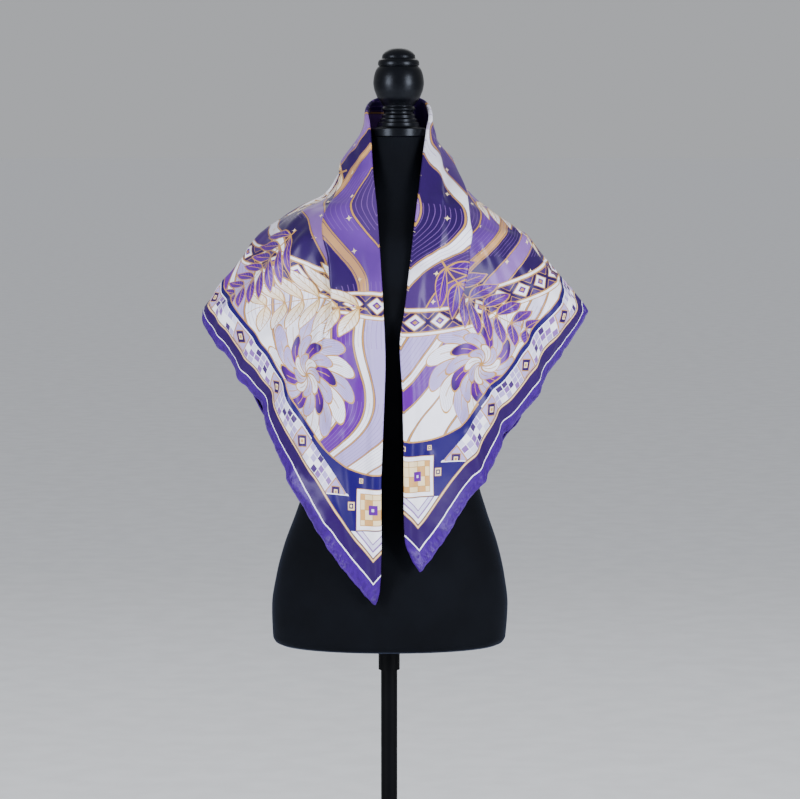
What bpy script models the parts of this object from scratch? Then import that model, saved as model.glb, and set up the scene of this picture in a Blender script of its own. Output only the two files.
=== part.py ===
"""A silk square scarf, folded into a doubled triangle and draped round a limbless dress form.

Metres, +Z up, the form's front faces -Y. The origin is on the floor at the centre of the base.
The cloth is a grid of ribs. Each rib runs from the fold line (the two front edges and the
standing collar) to the outer hem, over a cape of cross-sections that hangs round the form.
"""
import math

import bpy
import numpy as np

# Driving sizes of the cloth.
SCARF_SIDE = 0.98               # the square after its hems are rolled, cut 1.00
CLOTH_WALL = 0.0016             # both silk layers with the air between them
HEM_RADIUS = 0.0015
HEM_SIDES = 6
HEM_CLEARANCE = 0.0008          # between an outer hem and the edge that it lies beside
UNDER_CLEARANCE = 0.0012        # between an under hem and the wall that it lies inside
FIT_GAP = 0.0003                # between neighbouring pieces
REST_CLEARANCE = 0.0028         # from the middle of the wall to the form
REST_STEP = 0.0005              # the step over which the form's slope is measured
REST_PASSES = 4
FOLD_OFFSETS = (0.009, 0.018)   # how far the fold runs from the true diagonal, left and right

# Driving sizes of the form and its stand.
FORM_BOTTOM = 0.420
FORM_TOP = 1.069
FORM_LEAN = 0.0189              # sideways lean of the form, metres per metre of height
POLE_RADIUS = 0.0105
SLEEVE_RADIUS = 0.0137
SLEEVE_HEIGHT = 0.024
BASE_RADIUS = 0.165
BASE_THICKNESS = 0.006
BASE_EDGE = 0.002               # the bevel round the base's top
SLEEVE_GAP = 0.0005             # between the sleeve's bore and the pole

# Grid sizes.
FORM_SIDES = 48
TURNED_SIDES = 24
RIB_SAMPLES = 160               # points used to measure a rib before it is divided
ROUTE_SAMPLES = 24              # points used to measure a route between two of its rows
END_RIBS = 33
BACK_RIBS = 35                  # odd, so that one rib runs to the back corner
COLUMNS_TO_PLEAT = 8            # columns of the grid from the fold to the pleat
COLUMNS_TO_HEM = 9

FORM_COLUMNS = ("height", "half_width", "front", "back", "squareness")
FORM_ROWS = (
    (0.4200, 0.1400, 0.092, 0.088, 2.1),
    (0.4230, 0.1460, 0.098, 0.094, 2.1),
    (0.4300, 0.1495, 0.101, 0.097, 2.1),
    (0.4700, 0.1515, 0.103, 0.100, 2.1),
    (0.5080, 0.1465, 0.101, 0.099, 2.1),
    (0.5460, 0.1375, 0.097, 0.094, 2.1),
    (0.5920, 0.1215, 0.090, 0.084, 2.1),
    (0.6300, 0.1100, 0.083, 0.076, 2.1),
    (0.6850, 0.1030, 0.078, 0.071, 2.1),
    (0.7400, 0.1090, 0.085, 0.075, 2.1),
    (0.8000, 0.1240, 0.102, 0.085, 2.1),
    (0.8450, 0.1370, 0.112, 0.092, 2.1),
    (0.8900, 0.1580, 0.104, 0.098, 2.1),
    (0.9150, 0.1680, 0.096, 0.0955, 2.1),
    (0.9350, 0.1660, 0.088, 0.0905, 2.1),
    (0.9480, 0.1550, 0.081, 0.085, 2.0),
    (0.9570, 0.1420, 0.076, 0.080, 2.0),
    (0.9660, 0.1280, 0.071, 0.075, 2.0),
    (0.9750, 0.1130, 0.066, 0.069, 2.0),
    (0.9890, 0.0880, 0.059, 0.060, 2.0),
    (1.0050, 0.0620, 0.051, 0.051, 2.0),
    (1.0250, 0.0460, 0.044, 0.044, 2.0),
    (1.0480, 0.0385, 0.039, 0.039, 2.0),
    (1.0690, 0.0345, 0.0345, 0.0345, 2.0),
)

CAP_COLUMNS = ("above_neck", "radius")
CAP_ROWS = (
    (0.0000, 0.0350), (0.0012, 0.0360), (0.0098, 0.0360), (0.0112, 0.0346), (0.0128, 0.0272),
    (0.0150, 0.0266), (0.0178, 0.0262), (0.0192, 0.0238), (0.0220, 0.0240), (0.0240, 0.0214),
    (0.0270, 0.0216), (0.0290, 0.0192), (0.0350, 0.0196), (0.0385, 0.0193), (0.0418, 0.0212),
    (0.0495, 0.0271), (0.0536, 0.0289), (0.0602, 0.0312), (0.0682, 0.0323), (0.0751, 0.0316),
    (0.0828, 0.0296), (0.0880, 0.0266), (0.0893, 0.0252), (0.0910, 0.0264), (0.0940, 0.0262),
    (0.0969, 0.0249), (0.0990, 0.0216), (0.1030, 0.0208), (0.1070, 0.0178), (0.1100, 0.0132),
    (0.1118, 0.0076), (0.1124, 0.0012),
)

CAPE_COLUMNS = ("height", "left", "right", "front", "back", "front_square", "back_square")
CAPE_ROWS = (
    (0.4600, 0.160, 0.160, 0.114, 0.109, 2.0, 2.0),
    (0.5500, 0.158, 0.158, 0.117, 0.108, 2.0, 2.0),
    (0.6100, 0.160, 0.160, 0.120, 0.106, 2.0, 2.0),
    (0.6500, 0.170, 0.168, 0.122, 0.105, 1.9, 2.0),
    (0.6900, 0.186, 0.184, 0.124, 0.105, 1.8, 1.9),
    (0.7300, 0.204, 0.208, 0.125, 0.106, 1.7, 1.8),
    (0.7700, 0.226, 0.226, 0.125, 0.107, 1.6, 1.7),
    (0.8100, 0.242, 0.238, 0.123, 0.108, 1.55, 1.65),
    (0.8450, 0.246, 0.245, 0.119, 0.108, 1.5, 1.65),
    (0.8680, 0.232, 0.230, 0.114, 0.107, 1.55, 1.7),
    (0.8930, 0.216, 0.211, 0.109, 0.103, 1.65, 1.8),
    (0.9120, 0.202, 0.195, 0.104, 0.100, 1.8, 1.9),
    (0.9300, 0.190, 0.181, 0.099, 0.097, 1.9, 2.0),
    (0.9460, 0.175, 0.168, 0.094, 0.092, 2.0, 2.0),
    (0.9570, 0.162, 0.146, 0.090, 0.088, 2.0, 2.0),
    (0.9750, 0.131, 0.124, 0.082, 0.080, 2.0, 2.0),
    (0.9890, 0.099, 0.104, 0.074, 0.072, 2.0, 2.0),
    (1.0120, 0.080, 0.083, 0.063, 0.062, 2.0, 2.0),
    (1.0300, 0.073, 0.068, 0.056, 0.055, 2.0, 2.0),
    (1.0600, 0.058, 0.049, 0.047, 0.049, 2.0, 2.0),
    (1.0870, 0.047, 0.044, 0.043, 0.047, 2.0, 2.0),
    (1.1300, 0.041, 0.038, 0.040, 0.046, 2.0, 2.0),
)

# The fold line, from the left tip up the front, round the neck and down to the right tip.
ROUTE_COLUMNS = ("x", "y", "z")
FOLD_ROUTE = (
    (-0.0173, -0.1130, 0.486),
    (-0.0130, -0.1150, 0.505),
    (-0.0110, -0.1170, 0.542),
    (-0.0109, -0.1220, 0.643),
    (-0.0071, -0.1250, 0.743),
    (-0.0060, -0.1245, 0.793),
    (-0.0085, -0.1160, 0.860),
    (-0.0128, -0.0960, 0.930),
    (-0.0175, -0.0720, 0.990),
    (-0.0215, -0.0470, 1.035),
    (-0.0246, -0.0210, 1.077),
    (-0.0290, 0.0070, 1.100),
    (-0.0190, 0.0330, 1.115),
    (0.0125, 0.0480, 1.120),
    (0.0430, 0.0330, 1.115),
    (0.0530, 0.0070, 1.098),
    (0.0482, -0.0210, 1.077),
    (0.0425, -0.0490, 1.035),
    (0.0375, -0.0720, 0.990),
    (0.0302, -0.0960, 0.930),
    (0.0222, -0.1160, 0.860),
    (0.0155, -0.1230, 0.811),
    (0.0190, -0.1250, 0.743),
    (0.0202, -0.1220, 0.643),
    (0.0212, -0.1180, 0.572),
    (0.0290, -0.1160, 0.546),
    (0.0390, -0.1140, 0.528),
)

# The outer hem's two sides: left tip to back corner, and back corner to right tip.
LEFT_HEM_ROUTE = (
    (-0.0173, -0.1130, 0.486),
    (-0.0425, -0.1120, 0.515),
    (-0.0742, -0.1060, 0.556),
    (-0.1063, -0.0880, 0.611),
    (-0.1259, -0.0740, 0.647),
    (-0.1454, -0.0590, 0.684),
    (-0.1622, -0.0480, 0.728),
    (-0.1907, -0.0290, 0.772),
    (-0.2138, -0.0100, 0.804),
    (-0.2324, 0.0040, 0.824),
    (-0.2385, 0.0160, 0.842),
    (-0.2020, 0.0480, 0.790),
    (-0.1500, 0.0760, 0.696),
    (-0.0930, 0.0980, 0.588),
    (-0.0420, 0.1070, 0.508),
    (0.0060, 0.1100, 0.458),
)
RIGHT_HEM_ROUTE = (
    (0.0060, 0.1100, 0.458),
    (0.0540, 0.1070, 0.512),
    (0.1040, 0.0980, 0.592),
    (0.1600, 0.0760, 0.702),
    (0.2130, 0.0480, 0.798),
    (0.2510, 0.0160, 0.848),
    (0.2458, 0.0040, 0.833),
    (0.2214, -0.0080, 0.798),
    (0.1969, -0.0260, 0.763),
    (0.1771, -0.0400, 0.732),
    (0.1475, -0.0580, 0.694),
    (0.1275, -0.0720, 0.654),
    (0.1101, -0.0840, 0.631),
    (0.0930, -0.0930, 0.608),
    (0.0663, -0.1050, 0.565),
    (0.0390, -0.1140, 0.528),
)

# Which point of the fold each rib leaves, as a share of its length, and which point of the hem
# it reaches, in sides of the square, with the share of the rib at which the pleat lies.
RIB_COLUMNS = ("rib", "fold", "hem", "pleat_at")
RIB_ROWS = (
    (0.000, 0.000, 0.000, 0.45),
    (0.180, 0.270, 0.284, 0.37),
    (0.240, 0.362, 0.378, 0.25),
    (0.300, 0.452, 0.472, 0.21),
    (0.400, 0.488, 0.740, 0.19),
    (0.500, 0.511, 1.000, 0.18),
    (0.600, 0.535, 1.260, 0.19),
    (0.700, 0.568, 1.532, 0.21),
    (0.760, 0.652, 1.624, 0.25),
    (0.820, 0.740, 1.720, 0.37),
    (1.000, 1.000, 2.000, 0.45),
)

# The ribs between which the overlapping pleat on each shoulder opens and closes.
PLEAT_COLUMNS = ("opens", "full", "wanes", "closes")
PLEAT_ROWS = (
    (0.170, 0.225, 0.270, 0.322),
    (0.678, 0.730, 0.775, 0.830),
)
PLEAT_OVERLAP = 0.0180          # how far the upper layer reaches over the lower one
PLEAT_HEIGHT = 0.0100           # how far it stands above the lower one
PLEAT_TURN = 0.0020             # half the height of the turn where one layer folds to the next
PLEAT_RISE_START = 0.9          # where the cloth starts to rise, as a share of the way to the fold
LIFT_IS_FULL = 0.5              # how far a pleat has opened when its full height is reached
SLIDE_STARTS = 0.3              # how far it has opened when its layers start to overlap
PLEAT_MARGIN = 2.5              # grid columns beyond each turn, in PLEAT_TURNs
PLEAT_SHARE = 0.6               # most of the way to the fold that half a pleat may take up

# Soft folds in the cloth: each runs between two (rib, share of rib) points.
FOLD_COLUMNS = ("rib_from", "share_from", "rib_to", "share_to", "half_width", "height")
SOFT_FOLDS = (
    (0.020, 0.10, 0.290, 0.045, 0.0120, 0.0050),
    (0.710, 0.045, 0.975, 0.10, 0.0120, 0.0050),
    (0.080, 0.86, 0.130, 1.00, 0.0140, 0.0060),
    (0.180, 0.60, 0.205, 1.00, 0.0150, -0.0070),
    (0.215, 0.55, 0.235, 1.00, 0.0140, 0.0050),
    (0.255, 0.45, 0.275, 1.00, 0.0160, 0.0050),
    (0.780, 0.50, 0.800, 1.00, 0.0150, 0.0050),
    (0.835, 0.55, 0.850, 1.00, 0.0140, -0.0060),
    (0.885, 0.70, 0.900, 1.00, 0.0130, 0.0060),
    (0.355, 0.25, 0.370, 1.00, 0.0220, 0.0080),
    (0.410, 0.20, 0.420, 1.00, 0.0240, 0.0100),
    (0.465, 0.28, 0.468, 1.00, 0.0220, 0.0070),
    (0.525, 0.22, 0.530, 1.00, 0.0220, 0.0080),
    (0.580, 0.20, 0.575, 1.00, 0.0240, 0.0100),
    (0.640, 0.25, 0.628, 1.00, 0.0220, 0.0080),
)

TIP_RIBS = (0.004, 0.996)       # the outermost ribs, where the cloth is a few millimetres wide
SEAM_RIBS = (0.300, 0.700)      # the ribs along the shoulders, where the stretches part
SEAM_STEP = 0.0008              # how far, in ribs, each stretch stops short of that
SEAM_BEND = 0.022               # how many ribs either side the under hems are eased over
HEM_EASING = 10                 # passes that ease the under hems round the bend at each shoulder
UNDER_START = 2.5               # how wide the cloth is, in insets, where an under hem starts
SHARP_EDGE = 40                 # degrees between two faces that do not shade as one surface

SILK = ("silk_twill", (0.20, 0.10, 0.52), 0.35, 0.0)
HEM_SILK = ("silk_hem", (0.09, 0.035, 0.50), 0.40, 0.0)
VELVET = ("black_velvet", (0.008, 0.008, 0.010), 0.90, 0.0)
CAP_BLACK = ("black_lacquer", (0.006, 0.006, 0.007), 0.30, 0.0)
METAL = ("black_metal", (0.010, 0.010, 0.011), 0.45, 0.6)


def clear_scene():
    """Remove every object that the file already holds."""
    for item in list(bpy.data.objects):
        bpy.data.objects.remove(item, do_unlink=True)


def column(rows, names, name):
    """One named column of a table."""
    return np.array([row[names.index(name)] for row in rows])


def smooth(at, xs, ys):
    """A monotone cubic through (xs, ys), read at every value of `at`."""
    at = np.clip(at, xs[0], xs[-1])
    run = np.diff(xs)
    slope = np.diff(ys) / run
    tangent = np.zeros(len(xs))
    same_way = slope[:-1] * slope[1:] > 0
    middle = np.zeros(len(xs) - 2)
    middle[same_way] = 2 * (slope[:-1] * slope[1:])[same_way] / (slope[:-1] + slope[1:])[same_way]
    tangent[1:-1] = middle
    tangent[0], tangent[-1] = slope[0], slope[-1]
    cell = np.clip(np.searchsorted(xs, at, side="right") - 1, 0, len(run) - 1)
    t = (at - xs[cell]) / run[cell]
    rise = run[cell]
    return ((1 + 2 * t) * (1 - t) ** 2 * ys[cell] + t * (1 - t) ** 2 * rise * tangent[cell]
            + t * t * (3 - 2 * t) * ys[cell + 1] + t * t * (t - 1) * rise * tangent[cell + 1])


def table_reader(rows, names, key):
    """A function that reads any column of a table at given values of its key column."""
    order = np.argsort(column(rows, names, key))
    keys = column(rows, names, key)[order]
    return lambda at, name: smooth(at, keys, column(rows, names, name)[order])


def step_between(low, high, at):
    """0 below low, 1 above high, and a smooth rise between them."""
    t = np.clip((at - low) / (high - low), 0.0, 1.0)
    return t * t * (3 - 2 * t)


def route_points(rows, shares):
    """Points at the given shares of the length of a smooth curve through the rows."""
    points = np.stack([column(rows, ROUTE_COLUMNS, name) for name in ROUTE_COLUMNS], axis=-1)
    ends = np.vstack([2 * points[0] - points[1], points, 2 * points[-1] - points[-2]])
    t = np.linspace(0, 1, ROUTE_SAMPLES, endpoint=False)[:, None]
    pieces = []
    for a, b, c, d in zip(ends[:-3], ends[1:-2], ends[2:-1], ends[3:]):
        pieces.append(0.5 * (2 * b + (c - a) * t + (2 * a - 5 * b + 4 * c - d) * t ** 2
                             + (3 * b - a - 3 * c + d) * t ** 3))
    curve = np.vstack(pieces + [points[-1:]])
    along = np.concatenate([[0], np.cumsum(np.linalg.norm(np.diff(curve, axis=0), axis=1))])
    along /= along[-1]
    return np.stack([np.interp(shares, along, curve[:, axis]) for axis in range(3)], axis=-1)


def lean(height):
    """How far the form's axis stands from the pole's at a height."""
    return FORM_LEAN * (height - FORM_BOTTOM)


read_form = table_reader(FORM_ROWS, FORM_COLUMNS, "height")
read_cape = table_reader(CAPE_ROWS, CAPE_COLUMNS, "height")
read_rib = table_reader(RIB_ROWS, RIB_COLUMNS, "rib")


def form_level(points):
    """How far out each point lies in its section of the form: 1 on the form's surface."""
    x, y, z = points[..., 0] - lean(points[..., 2]), points[..., 1], points[..., 2]
    depth = np.where(y < 0, read_form(z, "front"), read_form(z, "back"))
    square = read_form(z, "squareness")
    width = read_form(z, "half_width")
    return (np.abs(x / width) ** square + np.abs(y / depth) ** square) ** (1 / square)


def rest_on_form(points, clearance):
    """Move points that lie too close to the form out along its slope."""
    for _ in range(REST_PASSES):
        level = form_level(points)
        rise = [form_level(points + offset) - form_level(points - offset)
                for offset in np.eye(3) * REST_STEP]
        slope = np.stack(rise, axis=-1) / (2 * REST_STEP)
        steepness = np.maximum(np.linalg.norm(slope, axis=-1), 1.0)
        lack = np.maximum(clearance - (level - 1) / steepness, 0.0)
        lack = np.where(points[..., 2] < FORM_TOP + clearance, lack, 0.0)
        points = points + (lack / steepness)[..., None] * slope
    return points


def cape_section(height, on_right, in_front):
    """Half-width, depth and squareness of the cape's section at each height."""
    width = np.where(on_right, read_cape(height, "right"), read_cape(height, "left"))
    depth = np.where(in_front, read_cape(height, "front"), read_cape(height, "back"))
    square = np.where(in_front, read_cape(height, "front_square"),
                      read_cape(height, "back_square"))
    return width, depth, square


def to_cape(points):
    """Turn from the back centre (left is negative), share of the cape's size, and height."""
    x, y, z = points[..., 0] - lean(points[..., 2]), points[..., 1], points[..., 2]
    width, depth, square = cape_section(z, x >= 0, y < 0)
    across, along = np.abs(x / width) ** (square / 2), np.abs(y / depth) ** (square / 2)
    turn = np.arctan2(np.sign(x) * across, np.where(y < 0, -along, along))
    return turn, (across ** 2 + along ** 2) ** (1 / square), z


def from_cape(turn, spread, height):
    """The points of the cape at the given turns, sizes and heights."""
    in_front = np.abs(turn) > math.pi / 2
    width, depth, square = cape_section(height, turn >= 0, in_front)
    x = np.sign(turn) * width * spread * np.abs(np.sin(turn)) ** (2 / square)
    y = depth * spread * np.abs(np.cos(turn)) ** (2 / square)
    return np.stack([x + lean(height), np.where(in_front, -y, y), height], axis=-1)


def hem_points(sides):
    """Points of the outer hem, counted in sides of the square from the left tip."""
    left = route_points(LEFT_HEM_ROUTE, np.clip(sides, 0, 1))
    right = route_points(RIGHT_HEM_ROUTE, np.clip(sides - 1, 0, 1))
    return np.where((sides <= 1)[..., None], left, right)


def fine_ribs(ribs):
    """Each rib as many points of the cape, from the fold to the hem, and their distances."""
    along = np.linspace(0, 1, RIB_SAMPLES)
    start = to_cape(route_points(FOLD_ROUTE, read_rib(ribs, "fold")))
    end = to_cape(hem_points(read_rib(ribs, "hem")))
    blend = [a[:, None] + (b - a)[:, None] * along for a, b in zip(start, end)]
    fine = rest_on_form(from_cape(*blend), REST_CLEARANCE)
    steps = np.linalg.norm(np.diff(fine, axis=1), axis=2)
    return fine, np.concatenate([np.zeros((len(ribs), 1)), np.cumsum(steps, axis=1)], axis=1)


def points_on_ribs(fine, distances, at):
    """Points at the given distances along each rib."""
    return np.stack([np.stack([np.interp(at[row], distances[row], fine[row, :, axis])
                               for axis in range(3)], axis=-1) for row in range(len(fine))])


def surface_normals(grid):
    """Unit normals of a grid of points, pointing away from the form."""
    across = np.gradient(grid, axis=0)
    along = np.gradient(grid, axis=1)
    normals = np.cross(across, along)
    normals /= np.maximum(np.linalg.norm(normals, axis=-1, keepdims=True), 1e-12)
    return normals


def pleat_shape(ribs, offset, before, after):
    """How far the pleats carry each point along its rib, and how far out they lift it.

    offset is the distance from the pleat's middle on the flat cloth. The middle layer runs
    back under the upper one, and both carries fade evenly to the fold and to the hem.
    """
    carry, lift = np.zeros(offset.shape), np.zeros(offset.shape)
    half = PLEAT_OVERLAP / 2
    ramp = np.clip(offset / half, -1, 1)
    fade = np.where(offset < 0, 1 - (-offset - half) / (before - half),
                    1 - (offset - half) / (after - half))
    slide = PLEAT_OVERLAP * ramp * np.clip(fade, 0, 1)
    turns = sum(step_between(at - PLEAT_TURN, at + PLEAT_TURN, offset) for at in (-half, half))
    between = np.clip(0.5 + offset / (PLEAT_OVERLAP - 4 * PLEAT_TURN), 0, 1)
    height = PLEAT_HEIGHT - 2 * PLEAT_TURN * turns - (PLEAT_HEIGHT - 4 * PLEAT_TURN) * between
    height *= 1 - step_between(half, before * PLEAT_RISE_START, -offset)
    for row in PLEAT_ROWS:
        pleat = dict(zip(PLEAT_COLUMNS, row))
        opening = np.minimum((ribs - pleat["opens"]) / (pleat["full"] - pleat["opens"]),
                             (pleat["closes"] - ribs) / (pleat["closes"] - pleat["wanes"]))
        carry -= step_between(SLIDE_STARTS, 1.0, opening)[:, None] * slide
        lift += step_between(0.0, LIFT_IS_FULL, opening)[:, None] * height
    return carry, lift


def soft_fold_lift(ribs, shares, length):
    """How far the soft folds raise or sink each point."""
    lift = np.zeros(shares.shape)
    scale = np.stack([np.full(shares.shape, 2 * SCARF_SIDE),
                      np.broadcast_to(length, shares.shape)], axis=-1)
    here = np.stack([np.broadcast_to(ribs[:, None], shares.shape), shares], axis=-1)
    for row in SOFT_FOLDS:
        fold = dict(zip(FOLD_COLUMNS, row))
        start = np.array([fold["rib_from"], fold["share_from"]])
        line = (np.array([fold["rib_to"], fold["share_to"]]) - start) * scale
        reach = (here - start) * scale
        t = np.clip((line * reach).sum(-1) / (line * line).sum(-1), 0.0, 1.0)
        away = np.linalg.norm(reach - line * t[..., None], axis=-1)
        lift += fold["height"] * np.exp(-(away / fold["half_width"]) ** 2)
    return lift


def drape(ribs, shares):
    """The middle of the cloth at each rib and share of rib, and its outward normals."""
    fine, distances = fine_ribs(ribs)
    length = distances[:, -1:]
    pleat_at = read_rib(ribs, "pleat_at")[:, None] * length
    at = shares * length
    carry, lift = pleat_shape(ribs, at - pleat_at, pleat_at, length - pleat_at)
    plain = points_on_ribs(fine, distances, at)
    moved = points_on_ribs(fine, distances, np.clip(at + carry, 0, length))
    lift = lift + soft_fold_lift(ribs, shares, length)
    grid = rest_on_form(moved + surface_normals(plain) * lift[..., None], REST_CLEARANCE)
    return grid, surface_normals(grid)


def grid_shares(ribs):
    """Shares of each rib that the grid's columns lie at, close together in the pleat."""
    _, distances = fine_ribs(ribs)
    length = distances[:, -1:]
    half = PLEAT_OVERLAP / 2
    turn = half + PLEAT_TURN * np.array([-1, 0, 1, PLEAT_MARGIN])
    near = np.concatenate([-turn[::-1], [0.0], turn])
    pleat_at = read_rib(ribs, "pleat_at")[:, None]
    inside = pleat_at + near * np.minimum(1 / length, PLEAT_SHARE * pleat_at / half)
    before = np.linspace(0, 1, COLUMNS_TO_PLEAT, endpoint=False) * inside[:, :1]
    after = inside[:, -1:] + (1 - inside[:, -1:]) * np.linspace(0, 1, COLUMNS_TO_HEM + 1)[1:]
    return np.concatenate([before, inside, after], axis=1)


def material(finish):
    """A Principled material with the given name, colour, roughness and metallic value."""
    name, colour, roughness, metallic = finish
    made = bpy.data.materials.get(name) or bpy.data.materials.new(name)
    made.use_nodes = True
    shader = made.node_tree.nodes["Principled BSDF"]
    shader.inputs["Base Color"].default_value = (*colour, 1.0)
    shader.inputs["Roughness"].default_value = roughness
    shader.inputs["Metallic"].default_value = metallic
    return made


def add_object(name, points, faces, finish):
    """A named object with one material, from points and faces."""
    mesh = bpy.data.meshes.new(name)
    mesh.from_pydata([tuple(point) for point in points], [], faces)
    mesh.materials.append(material(finish))
    mesh.shade_smooth()
    mesh.set_sharp_from_angle(angle=math.radians(SHARP_EDGE))
    made = bpy.data.objects.new(name, mesh)
    bpy.context.scene.collection.objects.link(made)
    return made


def lofted(name, rings, finish, closed_rings=False):
    """A closed body through rings of equal length, with flat ends unless the rings close up."""
    rings = np.asarray(rings)
    count, sides = rings.shape[:2]
    at = np.arange(count * sides).reshape(count, sides)
    faces = []
    for i in range(count if closed_rings else count - 1):
        below, above = at[i], at[(i + 1) % count]
        for j in range(sides):
            k = (j + 1) % sides
            faces.append((below[j], below[k], above[k], above[j]))
    if not closed_rings:
        faces.append(tuple(at[0][::-1]))
        faces.append(tuple(at[-1]))
    return add_object(name, rings.reshape(-1, 3), faces, finish)


def turned(name, profile, finish, centre=0.0, sides=TURNED_SIDES, closed_profile=False):
    """A body turned about the upright line x = centre from (height, radius) rows, bottom to top."""
    turn = np.linspace(0, 2 * math.pi, sides, endpoint=False)
    rings = [np.stack([centre + radius * np.cos(turn), radius * np.sin(turn),
                       np.full(sides, height)], axis=-1) for height, radius in profile]
    return lofted(name, rings, finish, closed_profile)


def cloth_wall(name, middle, outward):
    """A stretch of the doubled cloth: a closed wall over a grid of points and normals."""
    count, width = middle.shape[:2]
    skins = np.stack([middle + outward * CLOTH_WALL / 2, middle - outward * CLOTH_WALL / 2])
    at = np.arange(skins[..., 0].size).reshape(2, count, width)
    faces = []
    for i in range(count - 1):
        for j in range(width - 1):
            faces.append((at[0, i, j], at[0, i + 1, j], at[0, i + 1, j + 1], at[0, i, j + 1]))
            faces.append((at[1, i, j], at[1, i, j + 1], at[1, i + 1, j + 1], at[1, i + 1, j]))
    rim = ([(i, 0) for i in range(count)] + [(count - 1, j) for j in range(1, width)]
           + [(i, width - 1) for i in range(count - 2, -1, -1)]
           + [(0, j) for j in range(width - 2, 0, -1)])
    for (i, j), (k, m) in zip(rim, rim[1:] + rim[:1]):
        faces.append((at[0, i, j], at[1, i, j], at[1, k, m], at[0, k, m]))
    return add_object(name, skins.reshape(-1, 3), faces, SILK)


def hem_tube(name, points):
    """A rolled hem: a thin closed tube along the points."""
    points = spaced(points)
    ahead = np.gradient(points, axis=0)
    ahead /= np.linalg.norm(ahead, axis=1, keepdims=True)
    upward = np.cross(np.cross(ahead, np.array([0.0, 0.0, 1.0])), ahead)
    upward /= np.linalg.norm(upward, axis=1, keepdims=True)
    side = np.cross(upward, ahead)
    turn = np.linspace(0, 2 * math.pi, HEM_SIDES, endpoint=False)
    rings = (points[:, None] + HEM_RADIUS * (np.cos(turn)[None, :, None] * side[:, None]
                                             + np.sin(turn)[None, :, None] * upward[:, None]))
    return lofted(name, rings, HEM_SILK)


def beside_edge(edge, inner, outward):
    """Where a rolled hem's middle runs: beside an edge of the cloth, away from its inner points."""
    side = np.cross(np.gradient(edge, axis=0), outward)
    side *= np.sign(((edge - inner) * side).sum(-1, keepdims=True))
    side /= np.linalg.norm(side, axis=-1, keepdims=True)
    return edge + side * (HEM_RADIUS + HEM_CLEARANCE)


def spaced(points):
    """The points without those that lie closer together than a hem's tube is thick."""
    kept = [points[0]]
    for point in points[1:-1]:
        if np.linalg.norm(point - kept[-1]) > 2 * HEM_RADIUS:
            kept.append(point)
    return np.array(kept + [points[-1]])


def shortened(points, cut, at_start):
    """The points without the given length at their start or end."""
    line = points if at_start else points[::-1]
    along = np.concatenate([[0], np.cumsum(np.linalg.norm(np.diff(line, axis=0), axis=1))])
    first = np.stack([np.interp(cut, along, line[:, axis]) for axis in range(3)])
    line = np.vstack([first, line[along > cut + HEM_RADIUS]])
    return line if at_start else line[::-1]


def build_outer_hems(ribs, middle, outward):
    """The rolled hems of the outer layer's two free sides, which meet at the back corner."""
    corner = int(np.argmin(np.abs(ribs - 0.5)))
    tips = route_points(FOLD_ROUTE, np.array([0.0, 1.0]))
    line = beside_edge(middle[:, -1], middle[:, -3], outward[:, -1])
    left = np.vstack([tips[0], line[:corner + 1]])
    right = np.vstack([line[corner:], tips[1]])
    hem_tube("outer_hem_left", left)
    hem_tube("outer_hem_right", shortened(right, 2 * HEM_RADIUS + HEM_CLEARANCE, True))


def build_under_hems(ribs, middle, outward):
    """The rolled hems of the under layer, inside the wall and a little way in from the outer hem."""
    steps = np.linalg.norm(np.diff(middle[:, ::-1], axis=1), axis=2)
    from_hem = np.concatenate([np.zeros((len(ribs), 1)), np.cumsum(steps, axis=1)], axis=1)
    inset = math.sqrt(2) * np.interp(ribs, (0, 1), FOLD_OFFSETS) + HEM_RADIUS
    own = from_hem[:, -1] > UNDER_START * inset
    inside = middle - outward * (CLOTH_WALL / 2 + UNDER_CLEARANCE + HEM_RADIUS)
    line = points_on_ribs(inside[own, ::-1], from_hem[own], inset[own, None])[:, 0]
    bent = sum(np.exp(-((ribs[own] - seam) / SEAM_BEND) ** 2) for seam in SEAM_RIBS)[1:-1, None]
    for _ in range(HEM_EASING):
        line[1:-1] += bent * 0.5 * ((line[:-2] + line[2:]) / 2 - line[1:-1])
    corner = int(np.argmin(np.abs(ribs[own] - 0.5)))
    hem_tube("under_hem_left", line[:corner + 1])
    hem_tube("under_hem_right", shortened(line[corner:], 2 * HEM_RADIUS + HEM_CLEARANCE, True))


def build_scarf():
    """The doubled cloth in its three stretches, and the rolled hems of both layers."""
    (first, last), (left_seam, right_seam) = TIP_RIBS, SEAM_RIBS
    stretches = {
        "scarf_left_end": np.linspace(first, left_seam - SEAM_STEP, END_RIBS),
        "scarf_back": np.linspace(left_seam + SEAM_STEP, right_seam - SEAM_STEP, BACK_RIBS),
        "scarf_right_end": np.linspace(right_seam + SEAM_STEP, last, END_RIBS),
    }
    ribs = np.concatenate(list(stretches.values()))
    middle, outward = drape(ribs, grid_shares(ribs))
    start = 0
    for name, own in stretches.items():
        cloth_wall(name, middle[start:start + len(own)], outward[start:start + len(own)])
        start += len(own)
    build_outer_hems(ribs, middle, outward)
    build_under_hems(ribs, middle, outward)


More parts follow.
